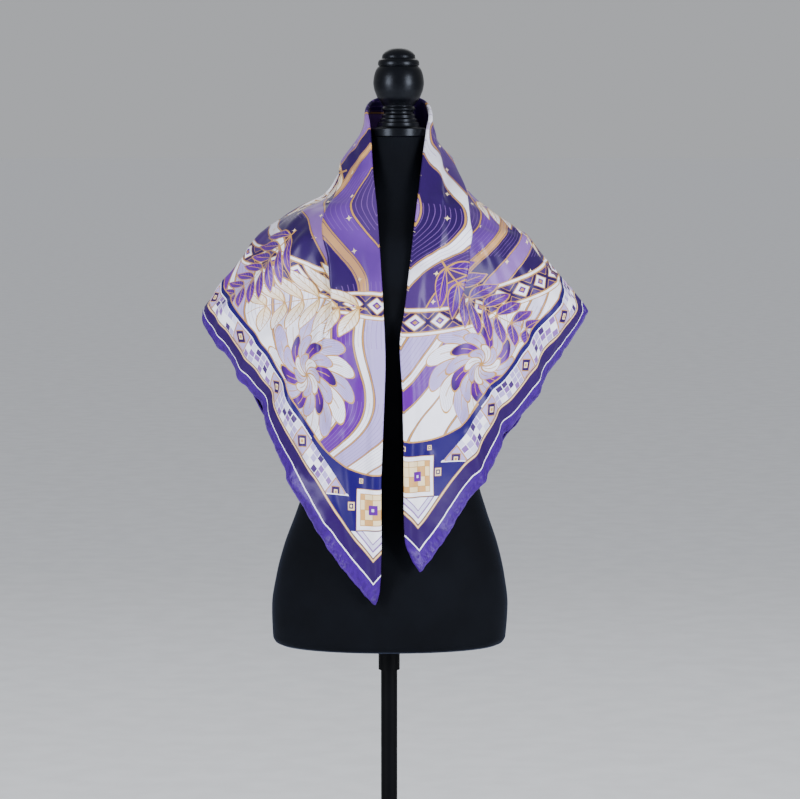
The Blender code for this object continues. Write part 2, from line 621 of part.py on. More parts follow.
def build_form():
    """The bust, its turned neck cap, and the stand that carries them."""
    turn = np.linspace(0, 2 * math.pi, FORM_SIDES, endpoint=False)
    rings = []
    for height in column(FORM_ROWS, FORM_COLUMNS, "height"):
        square = read_form(height, "squareness")
        depth = np.where(np.sin(turn) < 0, read_form(height, "front"), read_form(height, "back"))
        x = np.sign(np.cos(turn)) * np.abs(np.cos(turn)) ** (2 / square)
        y = np.sign(np.sin(turn)) * np.abs(np.sin(turn)) ** (2 / square)
        rings.append(np.stack([lean(height) + read_form(height, "half_width") * x, depth * y,
                               np.full(FORM_SIDES, height)], axis=-1))
    lofted("bust", rings, VELVET)
    neck = FORM_TOP + FIT_GAP
    turned("neck_cap", [(neck + above, radius) for above, radius in CAP_ROWS], CAP_BLACK,
           centre=lean(FORM_TOP))


def build_stand():
    """The sleeve under the bust, the pole and the round base."""
    top = FORM_BOTTOM - FIT_GAP
    bore = POLE_RADIUS + SLEEVE_GAP
    turned("pole_sleeve", [(top - SLEEVE_HEIGHT, bore), (top - SLEEVE_HEIGHT, SLEEVE_RADIUS),
                           (top, SLEEVE_RADIUS), (top, bore)], METAL, closed_profile=True)
    turned("pole", [(BASE_THICKNESS + FIT_GAP, POLE_RADIUS), (top, POLE_RADIUS)], METAL)
    turned("base", [(0.0, BASE_RADIUS), (BASE_THICKNESS - BASE_EDGE, BASE_RADIUS),
                    (BASE_THICKNESS, BASE_RADIUS - BASE_EDGE)], METAL, sides=FORM_SIDES)


def main():
    clear_scene()
    build_form()
    build_stand()
    build_scarf()


main()
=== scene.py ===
"""The looks of a silk square scarf, folded and draped on a limbless dress form.

Metres, +Z up, the open front faces -Y. The cloth is worked out on ribs that run from the fold
line to the outer hem, and carries its own flat coordinates, which the print is laid out on.
"""
from __future__ import annotations

import logging
import math
from collections.abc import Callable
from dataclasses import dataclass
from enum import Enum

import bpy
import numpy as np
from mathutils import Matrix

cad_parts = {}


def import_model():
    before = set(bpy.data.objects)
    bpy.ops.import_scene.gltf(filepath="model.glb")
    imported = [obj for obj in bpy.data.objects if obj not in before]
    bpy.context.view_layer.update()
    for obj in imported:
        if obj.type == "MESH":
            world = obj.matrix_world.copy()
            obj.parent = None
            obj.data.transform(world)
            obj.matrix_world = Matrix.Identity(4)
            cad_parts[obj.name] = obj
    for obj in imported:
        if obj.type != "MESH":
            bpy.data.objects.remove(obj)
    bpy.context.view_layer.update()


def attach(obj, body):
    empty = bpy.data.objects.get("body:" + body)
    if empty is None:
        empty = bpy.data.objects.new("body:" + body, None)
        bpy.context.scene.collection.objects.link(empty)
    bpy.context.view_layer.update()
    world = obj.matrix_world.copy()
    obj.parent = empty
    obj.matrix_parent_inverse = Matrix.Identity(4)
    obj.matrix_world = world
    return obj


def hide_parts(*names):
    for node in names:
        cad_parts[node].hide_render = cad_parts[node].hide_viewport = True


Array = np.ndarray
UP = (0.0, 0.0, 1.0)
LOG = logging.getLogger("scarf")
TINY = 1e-12


# ---- number helpers


def smooth(at: Array, xs: Array, ys: Array) -> Array:
    """A monotone cubic through the points (xs, ys).

    Between two points it is the Hermite cubic whose slopes are the harmonic means of the
    neighbouring chords, or level where the chords change sign.

    Args:
        at: where to read it.
        xs: rising places.
        ys: values there.

    Returns:
        The values, held level outside the first and last places.
    """
    at = np.clip(at, xs[0], xs[-1])
    run = np.diff(xs)
    slope = np.diff(ys) / run
    tangent = np.concatenate([slope[:1], np.zeros(len(xs) - 2), slope[-1:]])
    product = slope[:-1] * slope[1:]
    total = np.where(product > 0, slope[:-1] + slope[1:], 1.0)
    tangent[1:-1] = np.where(product > 0, 2 * product / total, 0.0)
    cell = np.clip(np.searchsorted(xs, at, side="right") - 1, 0, len(run) - 1)
    t, rise = (at - xs[cell]) / run[cell], run[cell]
    return ((1 + 2 * t) * (1 - t) ** 2 * ys[cell] + t * (1 - t) ** 2 * rise * tangent[cell]
            + t * t * (3 - 2 * t) * ys[cell + 1] + t * t * (t - 1) * rise * tangent[cell + 1])


def step_between(low: float | Array, high: float | Array, at: Array) -> Array:
    """0 below low, 1 above high, and 3t^2 - 2t^3 between them."""
    t = np.clip((at - low) / (high - low), 0.0, 1.0)
    return t * t * (3 - 2 * t)


def unit(vectors: Array) -> Array:
    """The vectors at length 1."""
    return vectors / np.maximum(np.linalg.norm(vectors, axis=-1, keepdims=True), TINY)


def lengths_along(points: Array) -> Array:
    """How far along a line of points, or along its row of a grid, each one lies."""
    steps = np.linalg.norm(np.diff(points, axis=-2), axis=-1)
    return np.concatenate([0 * steps[..., :1], np.cumsum(steps, axis=-1)], axis=-1)


def read_row(row: Array, places: Array, at: Array) -> Array:
    """A row of points whose places are known, read at other places."""
    return np.stack([np.interp(at, places, column) for column in row.T], axis=-1)


def read_rows(rows: Array, places: Array, at: Array) -> Array:
    """A grid of points whose places along its rows are known, read at other places."""
    return np.stack([read_row(*row) for row in zip(rows, places, at)])


def waves(at: Array, seed: int) -> Array:
    """A smooth irregular line from -1 to 1: sines of rising frequency and random phase.

    Args:
        at: places, about one wave a unit.
        seed: picks the line.

    Returns:
        The values.
    """
    sines, slowest, rise = 5, 0.6, 0.45
    draw = np.random.default_rng(seed)
    total = np.zeros(np.shape(at))
    for order in range(sines):
        total += np.sin(2 * math.pi * (at * (slowest + rise * order) + draw.random())) / (
            1 + order)
    return total / sum(1 / (1 + order) for order in range(sines))


@dataclass(frozen=True)
class Table:
    """Rows of named columns."""

    names: tuple[str, ...]
    rows: tuple[tuple[float, ...], ...]

    def column(self, name: str) -> Array:
        """One column."""
        return np.array([row[self.names.index(name)] for row in self.rows])

    def read(self, at: Array | float, name: str) -> Array:
        """A smooth curve through a column, read at values of the table's first column."""
        keys = self.column(self.names[0])
        order = np.argsort(keys)
        return smooth(np.asarray(at, dtype=float), keys[order], self.column(name)[order])

    def between(self, count: int) -> Array:
        """Values of the first column, as many between each two rows, `count` in all."""
        rows = self.column(self.names[0])
        return np.interp(np.linspace(0, len(rows) - 1, count), np.arange(len(rows)), rows)

    def records(self) -> list[dict[str, float]]:
        """The rows as dictionaries."""
        return [dict(zip(self.names, row)) for row in self.rows]

    def route(self, shares: Array) -> Array:
        """Points at the given shares of the length of a Catmull-Rom curve through the rows."""
        samples = 24
        points = np.array(self.rows)
        ends = np.vstack([2 * points[0] - points[1], points, 2 * points[-1] - points[-2]])
        t = np.linspace(0, 1, samples, endpoint=False)[None, :, None]
        a, b, c, d = (ends[k:len(ends) - 3 + k, None] for k in range(4))
        pieces = 0.5 * (2 * b + (c - a) * t + (2 * a - 5 * b + 4 * c - d) * t ** 2
                        + (3 * b - a - 3 * c + d) * t ** 3)
        curve = np.vstack([pieces.reshape(-1, 3), points[-1:]])
        places = lengths_along(curve)
        return read_row(curve, places, np.asarray(shares) * places[-1])


# ---- tables of form

# Sections of the bust.
FORM = Table(
    ("height", "half_width", "front", "back", "squareness"),
    (
        (0.4200, 0.1400, 0.092, 0.088, 2.1), (0.4230, 0.1460, 0.098, 0.094, 2.1),
        (0.4300, 0.1495, 0.101, 0.097, 2.1), (0.4700, 0.1515, 0.103, 0.100, 2.1),
        (0.5080, 0.1465, 0.101, 0.099, 2.1), (0.5460, 0.1375, 0.097, 0.094, 2.1),
        (0.5920, 0.1215, 0.090, 0.084, 2.1), (0.6300, 0.1100, 0.083, 0.076, 2.1),
        (0.6850, 0.1030, 0.078, 0.071, 2.1), (0.7400, 0.1090, 0.085, 0.075, 2.1),
        (0.8000, 0.1240, 0.102, 0.085, 2.1), (0.8450, 0.1370, 0.112, 0.092, 2.1),
        (0.8900, 0.1580, 0.104, 0.098, 2.1), (0.9150, 0.1680, 0.096, 0.0955, 2.1),
        (0.9350, 0.1660, 0.088, 0.0905, 2.1), (0.9480, 0.1550, 0.081, 0.085, 2.0),
        (0.9570, 0.1420, 0.076, 0.080, 2.0), (0.9660, 0.1280, 0.071, 0.075, 2.0),
        (0.9750, 0.1130, 0.066, 0.069, 2.0), (0.9890, 0.0880, 0.059, 0.060, 2.0),
        (1.0050, 0.0620, 0.051, 0.051, 2.0), (1.0250, 0.0460, 0.044, 0.044, 2.0),
        (1.0480, 0.0385, 0.039, 0.039, 2.0), (1.0690, 0.0345, 0.0345, 0.0345, 2.0),
    ),
)

# The turned neck cap, from its foot up.
CAP = Table(
    ("above_neck", "radius"),
    (
        (0.0000, 0.0350), (0.0012, 0.0360), (0.0098, 0.0360), (0.0112, 0.0346), (0.0128, 0.0272),
        (0.0150, 0.0266), (0.0178, 0.0262), (0.0192, 0.0238), (0.0220, 0.0240), (0.0240, 0.0214),
        (0.0270, 0.0216), (0.0290, 0.0192), (0.0315, 0.0188), (0.0328, 0.0203), (0.0350, 0.0213),
        (0.0370, 0.0204), (0.0384, 0.0193), (0.0418, 0.0212), (0.0495, 0.0271), (0.0536, 0.0289),
        (0.0602, 0.0312), (0.0682, 0.0323), (0.0751, 0.0316), (0.0828, 0.0296), (0.0880, 0.0266),
        (0.0893, 0.0252), (0.0910, 0.0264), (0.0940, 0.0262), (0.0969, 0.0249), (0.0990, 0.0216),
        (0.1030, 0.0208), (0.1070, 0.0178), (0.1100, 0.0132), (0.1118, 0.0076), (0.1124, 0.0012),
    ),
)

# Sections of the cape that the cloth hangs over.
CAPE = Table(
    ("height", "left", "right", "front", "back", "front_square", "back_square"),
    (
        (0.4600, 0.160, 0.160, 0.114, 0.109, 2.0, 2.0),
        (0.5500, 0.158, 0.158, 0.117, 0.108, 2.0, 2.0),
        (0.6100, 0.160, 0.160, 0.120, 0.106, 2.0, 2.0),
        (0.6500, 0.170, 0.168, 0.122, 0.105, 1.9, 2.0),
        (0.6900, 0.186, 0.184, 0.124, 0.105, 1.8, 1.9),
        (0.7300, 0.204, 0.208, 0.125, 0.106, 1.7, 1.8),
        (0.7700, 0.226, 0.226, 0.125, 0.107, 1.6, 1.7),
        (0.8100, 0.242, 0.238, 0.123, 0.108, 1.55, 1.65),
        (0.8450, 0.246, 0.245, 0.119, 0.108, 1.5, 1.65),
        (0.8680, 0.232, 0.230, 0.114, 0.107, 1.55, 1.7),
        (0.8930, 0.216, 0.211, 0.109, 0.103, 1.65, 1.8),
        (0.9120, 0.202, 0.195, 0.104, 0.100, 1.8, 1.9),
        (0.9300, 0.190, 0.181, 0.099, 0.097, 1.9, 2.0),
        (0.9460, 0.175, 0.168, 0.094, 0.092, 2.0, 2.0),
        (0.9570, 0.162, 0.146, 0.090, 0.088, 2.0, 2.0),
        (0.9750, 0.131, 0.124, 0.082, 0.080, 2.0, 2.0),
        (0.9890, 0.099, 0.104, 0.074, 0.072, 2.0, 2.0),
        (1.0120, 0.080, 0.083, 0.063, 0.062, 2.0, 2.0),
        (1.0300, 0.073, 0.068, 0.056, 0.055, 2.0, 2.0),
        (1.0600, 0.058, 0.049, 0.047, 0.049, 2.0, 2.0),
        (1.0870, 0.047, 0.044, 0.043, 0.047, 2.0, 2.0),
        (1.1300, 0.041, 0.038, 0.040, 0.046, 2.0, 2.0),
    ),
)

# The fold line, from the left tip round the neck to the right tip.
FOLD = Table(
    ("x", "y", "z"),
    (
        (-0.0173, -0.1130, 0.486), (-0.0130, -0.1150, 0.505), (-0.0110, -0.1170, 0.542),
        (-0.0109, -0.1220, 0.643), (-0.0071, -0.1250, 0.743), (-0.0060, -0.1245, 0.793),
        (-0.0085, -0.1160, 0.860), (-0.0128, -0.0960, 0.930), (-0.0175, -0.0720, 0.990),
        (-0.0215, -0.0470, 1.035), (-0.0246, -0.0210, 1.077), (-0.0290, 0.0070, 1.100),
        (-0.0190, 0.0330, 1.115), (0.0125, 0.0480, 1.120), (0.0430, 0.0330, 1.115),
        (0.0530, 0.0070, 1.098), (0.0482, -0.0210, 1.077), (0.0425, -0.0490, 1.035),
        (0.0375, -0.0720, 0.990), (0.0302, -0.0960, 0.930), (0.0222, -0.1160, 0.860),
        (0.0155, -0.1230, 0.811), (0.0190, -0.1250, 0.743), (0.0202, -0.1220, 0.643),
        (0.0212, -0.1180, 0.572), (0.0290, -0.1160, 0.546), (0.0390, -0.1140, 0.528),
    ),
)

# The outer hem from the left tip to the back corner.
LEFT_HEM = Table(
    ("x", "y", "z"),
    (
        (-0.0173, -0.1130, 0.486), (-0.0425, -0.1120, 0.515), (-0.0742, -0.1060, 0.556),
        (-0.1063, -0.0880, 0.611), (-0.1259, -0.0740, 0.647), (-0.1454, -0.0590, 0.684),
        (-0.1622, -0.0480, 0.728), (-0.1907, -0.0290, 0.772), (-0.2138, -0.0100, 0.804),
        (-0.2324, 0.0040, 0.824), (-0.2385, 0.0160, 0.842), (-0.2020, 0.0480, 0.790),
        (-0.1500, 0.0760, 0.696), (-0.0930, 0.0980, 0.588), (-0.0420, 0.1070, 0.508),
        (0.0060, 0.1100, 0.458),
    ),
)

# The outer hem from the back corner to the right tip.
RIGHT_HEM = Table(
    ("x", "y", "z"),
    (
        (0.0060, 0.1100, 0.458), (0.0540, 0.1070, 0.512), (0.1040, 0.0980, 0.592),
        (0.1600, 0.0760, 0.702), (0.2130, 0.0480, 0.798), (0.2510, 0.0160, 0.848),
        (0.2458, 0.0040, 0.833), (0.2214, -0.0080, 0.798), (0.1969, -0.0260, 0.763),
        (0.1771, -0.0400, 0.732), (0.1475, -0.0580, 0.694), (0.1275, -0.0720, 0.654),
        (0.1101, -0.0840, 0.631), (0.0930, -0.0930, 0.608), (0.0663, -0.1050, 0.565),
        (0.0390, -0.1140, 0.528),
    ),
)

# The fold and hem points that each rib joins, and where its pleat lies.
RIBS = Table(
    ("rib", "fold", "hem", "pleat_at"),
    (
        (0.000, 0.000, 0.000, 0.45), (0.180, 0.270, 0.284, 0.37), (0.240, 0.362, 0.378, 0.25),
        (0.300, 0.452, 0.472, 0.21), (0.400, 0.488, 0.740, 0.19), (0.500, 0.511, 1.000, 0.18),
        (0.600, 0.535, 1.260, 0.19), (0.700, 0.568, 1.532, 0.21), (0.760, 0.652, 1.624, 0.25),
        (0.820, 0.740, 1.720, 0.37), (1.000, 1.000, 2.000, 0.45),
    ),
)

# The ribs between which the pleat on each shoulder opens and closes.
PLEATS = Table(
    ("opens", "full", "wanes", "closes"),
    (
        (0.170, 0.225, 0.270, 0.322), (0.678, 0.730, 0.775, 0.830),
    ),
)

# Soft folds between two (rib, share of rib) points.
SOFT_FOLDS = Table(
    ("rib_from", "share_from", "rib_to", "share_to", "half_width", "height"),
    (
        (0.020, 0.10, 0.290, 0.045, 0.0120, 0.0050), (0.710, 0.045, 0.975, 0.10, 0.0120, 0.0050),
        (0.080, 0.86, 0.130, 1.00, 0.0140, 0.0060), (0.180, 0.60, 0.205, 1.00, 0.0150, -0.0070),
        (0.215, 0.55, 0.235, 1.00, 0.0140, 0.0050), (0.255, 0.45, 0.275, 1.00, 0.0160, 0.0050),
        (0.780, 0.50, 0.800, 1.00, 0.0150, 0.0050), (0.835, 0.55, 0.850, 1.00, 0.0140, -0.0060),
        (0.885, 0.70, 0.900, 1.00, 0.0130, 0.0060), (0.355, 0.25, 0.370, 1.00, 0.0220, 0.0080),
        (0.410, 0.20, 0.420, 1.00, 0.0240, 0.0100), (0.465, 0.28, 0.468, 1.00, 0.0220, 0.0070),
        (0.525, 0.22, 0.530, 1.00, 0.0220, 0.0080), (0.580, 0.20, 0.575, 1.00, 0.0240, 0.0100),
        (0.640, 0.25, 0.628, 1.00, 0.0220, 0.0080),
    ),
)

# Fine folds that only the dressed cloth has, between two (rib, share of rib) points.
FINE_FOLDS = Table(
    ("rib_from", "share_from", "rib_to", "share_to", "half_width", "height"),
    (
        # left lapel and end
        (0.290, 0.110, 0.235, 0.090, 0.0100, 0.0030), (0.228, 0.130, 0.150, 0.200, 0.0110, 0.0024),
        (0.237, 0.410, 0.137, 0.470, 0.0090, 0.0036), (0.215, 0.250, 0.130, 0.330, 0.0090, -0.0014),
        (0.225, 0.560, 0.140, 0.720, 0.0120, -0.0016), (0.205, 0.690, 0.120, 0.800, 0.0090, 0.0024),
        (0.120, 0.400, 0.050, 0.500, 0.0080, 0.0018), (0.095, 0.620, 0.045, 0.700, 0.0070, -0.0011),
        # left shoulder
        (0.345, 0.340, 0.300, 0.680, 0.0110, 0.0030), (0.322, 0.380, 0.270, 0.700, 0.0090, -0.0016),
        (0.290, 0.420, 0.245, 0.720, 0.0090, 0.0025), (0.265, 0.450, 0.235, 0.640, 0.0080, -0.0014),
        (0.370, 0.420, 0.350, 0.860, 0.0130, -0.0017), (0.330, 0.760, 0.290, 0.930, 0.0090, 0.0023),
        # right lapel and end
        (0.722, 0.040, 0.752, 0.090, 0.0090, 0.0048), (0.752, 0.090, 0.785, 0.115, 0.0090, 0.0044),
        (0.790, 0.150, 0.880, 0.190, 0.0100, 0.0023), (0.795, 0.480, 0.880, 0.520, 0.0090, 0.0033),
        (0.800, 0.300, 0.890, 0.370, 0.0090, -0.0015), (0.780, 0.620, 0.860, 0.760, 0.0110, 0.0023),
        (0.800, 0.560, 0.870, 0.650, 0.0080, -0.0014), (0.915, 0.350, 0.960, 0.420, 0.0080, 0.0016),
        # right shoulder
        (0.715, 0.300, 0.728, 0.760, 0.0110, 0.0027), (0.735, 0.360, 0.765, 0.760, 0.0090, -0.0016),
        (0.760, 0.400, 0.790, 0.740, 0.0090, 0.0024), (0.690, 0.360, 0.700, 0.840, 0.0120, -0.0016),
        (0.670, 0.300, 0.668, 0.700, 0.0110, 0.0027), (0.745, 0.800, 0.775, 0.930, 0.0090, 0.0021),
        # back
        (0.400, 0.200, 0.385, 0.850, 0.0150, 0.0036), (0.430, 0.150, 0.420, 0.700, 0.0120, -0.0015),
        (0.462, 0.120, 0.455, 0.880, 0.0150, 0.0033), (0.505, 0.140, 0.500, 0.600, 0.0130, -0.0015),
        (0.540, 0.120, 0.548, 0.860, 0.0150, 0.0034), (0.575, 0.150, 0.590, 0.760, 0.0120, -0.0015),
        (0.610, 0.200, 0.625, 0.850, 0.0150, 0.0036), (0.640, 0.240, 0.655, 0.640, 0.0120, -0.0014),
    ),
)


# ---- meshes


def new_object(name: str, mesh: bpy.types.Mesh, finish: bpy.types.Material) -> bpy.types.Object:
    """An object for a mesh, with one material, in the scene."""
    mesh.materials.append(finish)
    made = bpy.data.objects.new(name, mesh)
    bpy.context.scene.collection.objects.link(made)
    return made


def grid_mesh(name: str, points: Array, *, wrap: bool = False, caps: bool = False,
              flat: Array | None = None) -> bpy.types.Mesh:
    """A mesh over a grid of points.

    Each face joins grid places (i, j), (i+1, j), (i+1, j+1) and (i, j+1), in that order.

    Args:
        name: the mesh's name.
        points: the grid, rows by columns by xyz.
        wrap: joins the last column to the first.
        caps: closes the first and last rows with one face each.
        flat: two flat coordinates a point, kept as the UV map.

    Returns:
        The mesh.
    """
    rows, columns = points.shape[:2]
    at = np.arange(rows * columns).reshape(rows, columns)
    if wrap:
        at = np.concatenate([at, at[:, :1]], axis=1)
    quads = np.stack([at[:-1, :-1], at[1:, :-1], at[1:, 1:], at[:-1, 1:]], axis=-1).reshape(-1, 4)
    faces = quads.tolist()
    if caps:
        faces += [at[0, :columns].tolist(), at[-1, :columns][::-1].tolist()]
    mesh = bpy.data.meshes.new(name)
    mesh.from_pydata(points.reshape(-1, 3), [], faces)
    mesh.shade_smooth()
    if flat is not None:
        corners = np.empty(len(mesh.loops), dtype=np.int32)
        mesh.loops.foreach_get("vertex_index", corners)
        layer = mesh.uv_layers.new(name="flat_cloth")
        layer.uv.foreach_set("vector", flat.reshape(-1, 2)[corners].ravel())
    return mesh


def grid_normals(grid: Array) -> Array:
    """Unit normals of a grid of points: the cross product of its two directions."""
    return unit(np.cross(np.gradient(grid, axis=0), np.gradient(grid, axis=1)))


def tube_grid(line: Array, radius: Array, sides: int) -> Array:
    """Rings round a line of points.

    Each ring is centre + radius (cos a side + sin a over), where over is +Z made square to the
    line and side is square to both.

    Args:
        line: the tube's middle.
        radius: one number a point.
        sides: points round a ring.

    Returns:
        The grid of points, one row a ring.
    """
    ahead = unit(np.gradient(line, axis=0))
    side = unit(np.cross(ahead, UP))
    over = np.cross(side, ahead)
    turn = np.linspace(0, 2 * math.pi, sides, endpoint=False)[None, :, None]
    reach = radius[:, None, None]
    return line[:, None] + reach * (np.cos(turn) * side[:, None] + np.sin(turn) * over[:, None])


# Where a round end's rings lie, as shares of its quarter turn.
DOME_RINGS = (0.5, 0.8, 0.98)


def domed(rings: Array, depth: Array) -> Array:
    """A tube's rings with a round end at each end.

    Args:
        rings: the tube's grid.
        depth: how far the ends reach, one number an end.

    Returns:
        The grid with three more rings at each end, the last one nearly closed.
    """
    turn = np.array(DOME_RINGS) * math.pi / 2
    parts = [rings]
    for end, before, reach in ((0, 1, depth[0]), (-1, -2, depth[1])):
        middle = rings[end].mean(axis=0)
        away = unit(middle - rings[before].mean(axis=0)) * reach
        cap = (middle + (rings[end] - middle) * np.cos(turn)[:, None, None]
               + away * np.sin(turn)[:, None, None])
        parts = [cap[::-1]] + parts if end == 0 else parts + [cap]
    return np.concatenate(parts)


# ---- the dress form


@dataclass
class DressForm:
    """The limbless form: a bust, its neck cap, and the stand under it."""

    bottom: float = 0.420
    top: float = 1.069
    lean_per_metre: float = 0.0189
    fit_gap: float = 0.0003
    pole_radius: float = 0.0105
    sleeve_radius: float = 0.0137
    sleeve_height: float = 0.034
    sleeve_gap: float = 0.0005
    base_radius: float = 0.165
    base_thickness: float = 0.006
    base_edge: float = 0.002
    bust_sides: int = 256
    bust_rows: int = 230
    cap_rows: int = 260
    turned_sides: int = 96
    slope_step: float = 0.0005
    rest_passes: int = 4
    sharp_above: float = 38.0
    rest_level: float = 1.25
    closing: tuple[float, float] = (0.2, 0.9)

    def lean(self, height: Array | float) -> Array:
        """How far the form's axis stands from the pole's at a height."""
        return self.lean_per_metre * (np.asarray(height) - self.bottom)

    def level(self, points: Array) -> Array:
        """How far out points lie in the form's sections: 1 on its surface.

        A section is |x/width|^n + |y/depth|^n = 1 about the leaning axis.
        """
        x, y, z = points[..., 0] - self.lean(points[..., 2]), points[..., 1], points[..., 2]
        depth = np.where(y < 0, FORM.read(z, "front"), FORM.read(z, "back"))
        square, width = FORM.read(z, "squareness"), FORM.read(z, "half_width")
        return (np.abs(x / width) ** square + np.abs(y / depth) ** square) ** (1 / square)

    def rest(self, points: Array, clearance: float) -> Array:
        """Points that lie too close to the form, moved out along its slope.

        Only the points near it are worked on, a few small moves each.
        """
        near = (self.level(points) < self.rest_level) & (
            points[..., 2] < self.top + clearance)
        moved = points[near]
        for _ in range(self.rest_passes):
            level = self.level(moved)
            rise = [self.level(moved + offset) - self.level(moved - offset)
                    for offset in np.eye(3) * self.slope_step]
            slope = np.stack(rise, axis=-1) / (2 * self.slope_step)
            steep = np.maximum(np.linalg.norm(slope, axis=-1), 1.0)
            lack = np.maximum(clearance - (level - 1) / steep, 0.0)
            moved = moved + (lack / steep)[:, None] * slope
        result = points.copy()
        result[near] = moved
        return result

    def bust_grid(self) -> Array:
        """Rings up the bust through its sections, closed in at the foot and at the neck."""
        heights = FORM.between(self.bust_rows)
        turn = np.linspace(0, -2 * math.pi, self.bust_sides, endpoint=False)[None]
        square = FORM.read(heights, "squareness")[:, None]
        depth = np.where(np.sin(turn) < 0, FORM.read(heights, "front")[:, None],
                         FORM.read(heights, "back")[:, None])
        x = np.sign(np.cos(turn)) * np.abs(np.cos(turn)) ** (2 / square)
        y = np.sign(np.sin(turn)) * np.abs(np.sin(turn)) ** (2 / square)
        across = FORM.read(heights, "half_width")[:, None] * x
        high = np.broadcast_to(heights[:, None], x.shape)
        rings = np.stack([across, depth * y, high], axis=-1)
        narrow = np.array(self.closing)[:, None, None] * [1, 1, 0] + [0, 0, 1]
        rings = np.concatenate([rings[0] * narrow, rings, rings[-1] * narrow[::-1]])
        rings[..., 0] += self.lean(rings[..., 2])
        return rings

    def turned(self, rows: list[tuple[float, float]], centre: float = 0.0) -> Array:
        """Rings of a turned body about the upright line x = centre.

        Args:
            rows: (height, radius) pairs from the bottom up.
            centre: where the line stands.

        Returns:
            The grid of points.
        """
        turn = np.linspace(0, -2 * math.pi, self.turned_sides, endpoint=False)[None]
        height, radius = np.array(rows).T[:, :, None]
        return np.stack(np.broadcast_arrays(centre + radius * np.cos(turn),
                                            radius * np.sin(turn), height), axis=-1)

    def cap_grid(self) -> Array:
        """The neck cap, turned through its smooth profile."""
        heights = CAP.between(self.cap_rows)
        profile = list(zip(self.top + self.fit_gap + heights, CAP.read(heights, "radius")))
        return self.turned(profile, float(self.lean(self.top)))

    def sleeve_grid(self) -> Array:
        """The sleeve: a ring with a bore a little wider than the pole."""
        top, bore = self.bottom - self.fit_gap, self.pole_radius + self.sleeve_gap
        foot = top - self.sleeve_height
        return self.turned([(foot, bore), (foot, self.sleeve_radius), (top, self.sleeve_radius),
                            (top, bore), (foot, bore)])

    def pole_grid(self) -> Array:
        """The pole, from the base to the bust."""
        return self.turned([(self.base_thickness + self.fit_gap, self.pole_radius),
                            (self.bottom - self.fit_gap, self.pole_radius)])

    def base_grid(self) -> Array:
        """The disc on the floor, with a chamfered rim."""
        shoulder = self.base_thickness - self.base_edge
        return self.turned([(0.0, self.base_radius), (shoulder, self.base_radius),
                            (self.base_thickness, self.base_radius - self.base_edge)])


# ---- the draped cloth


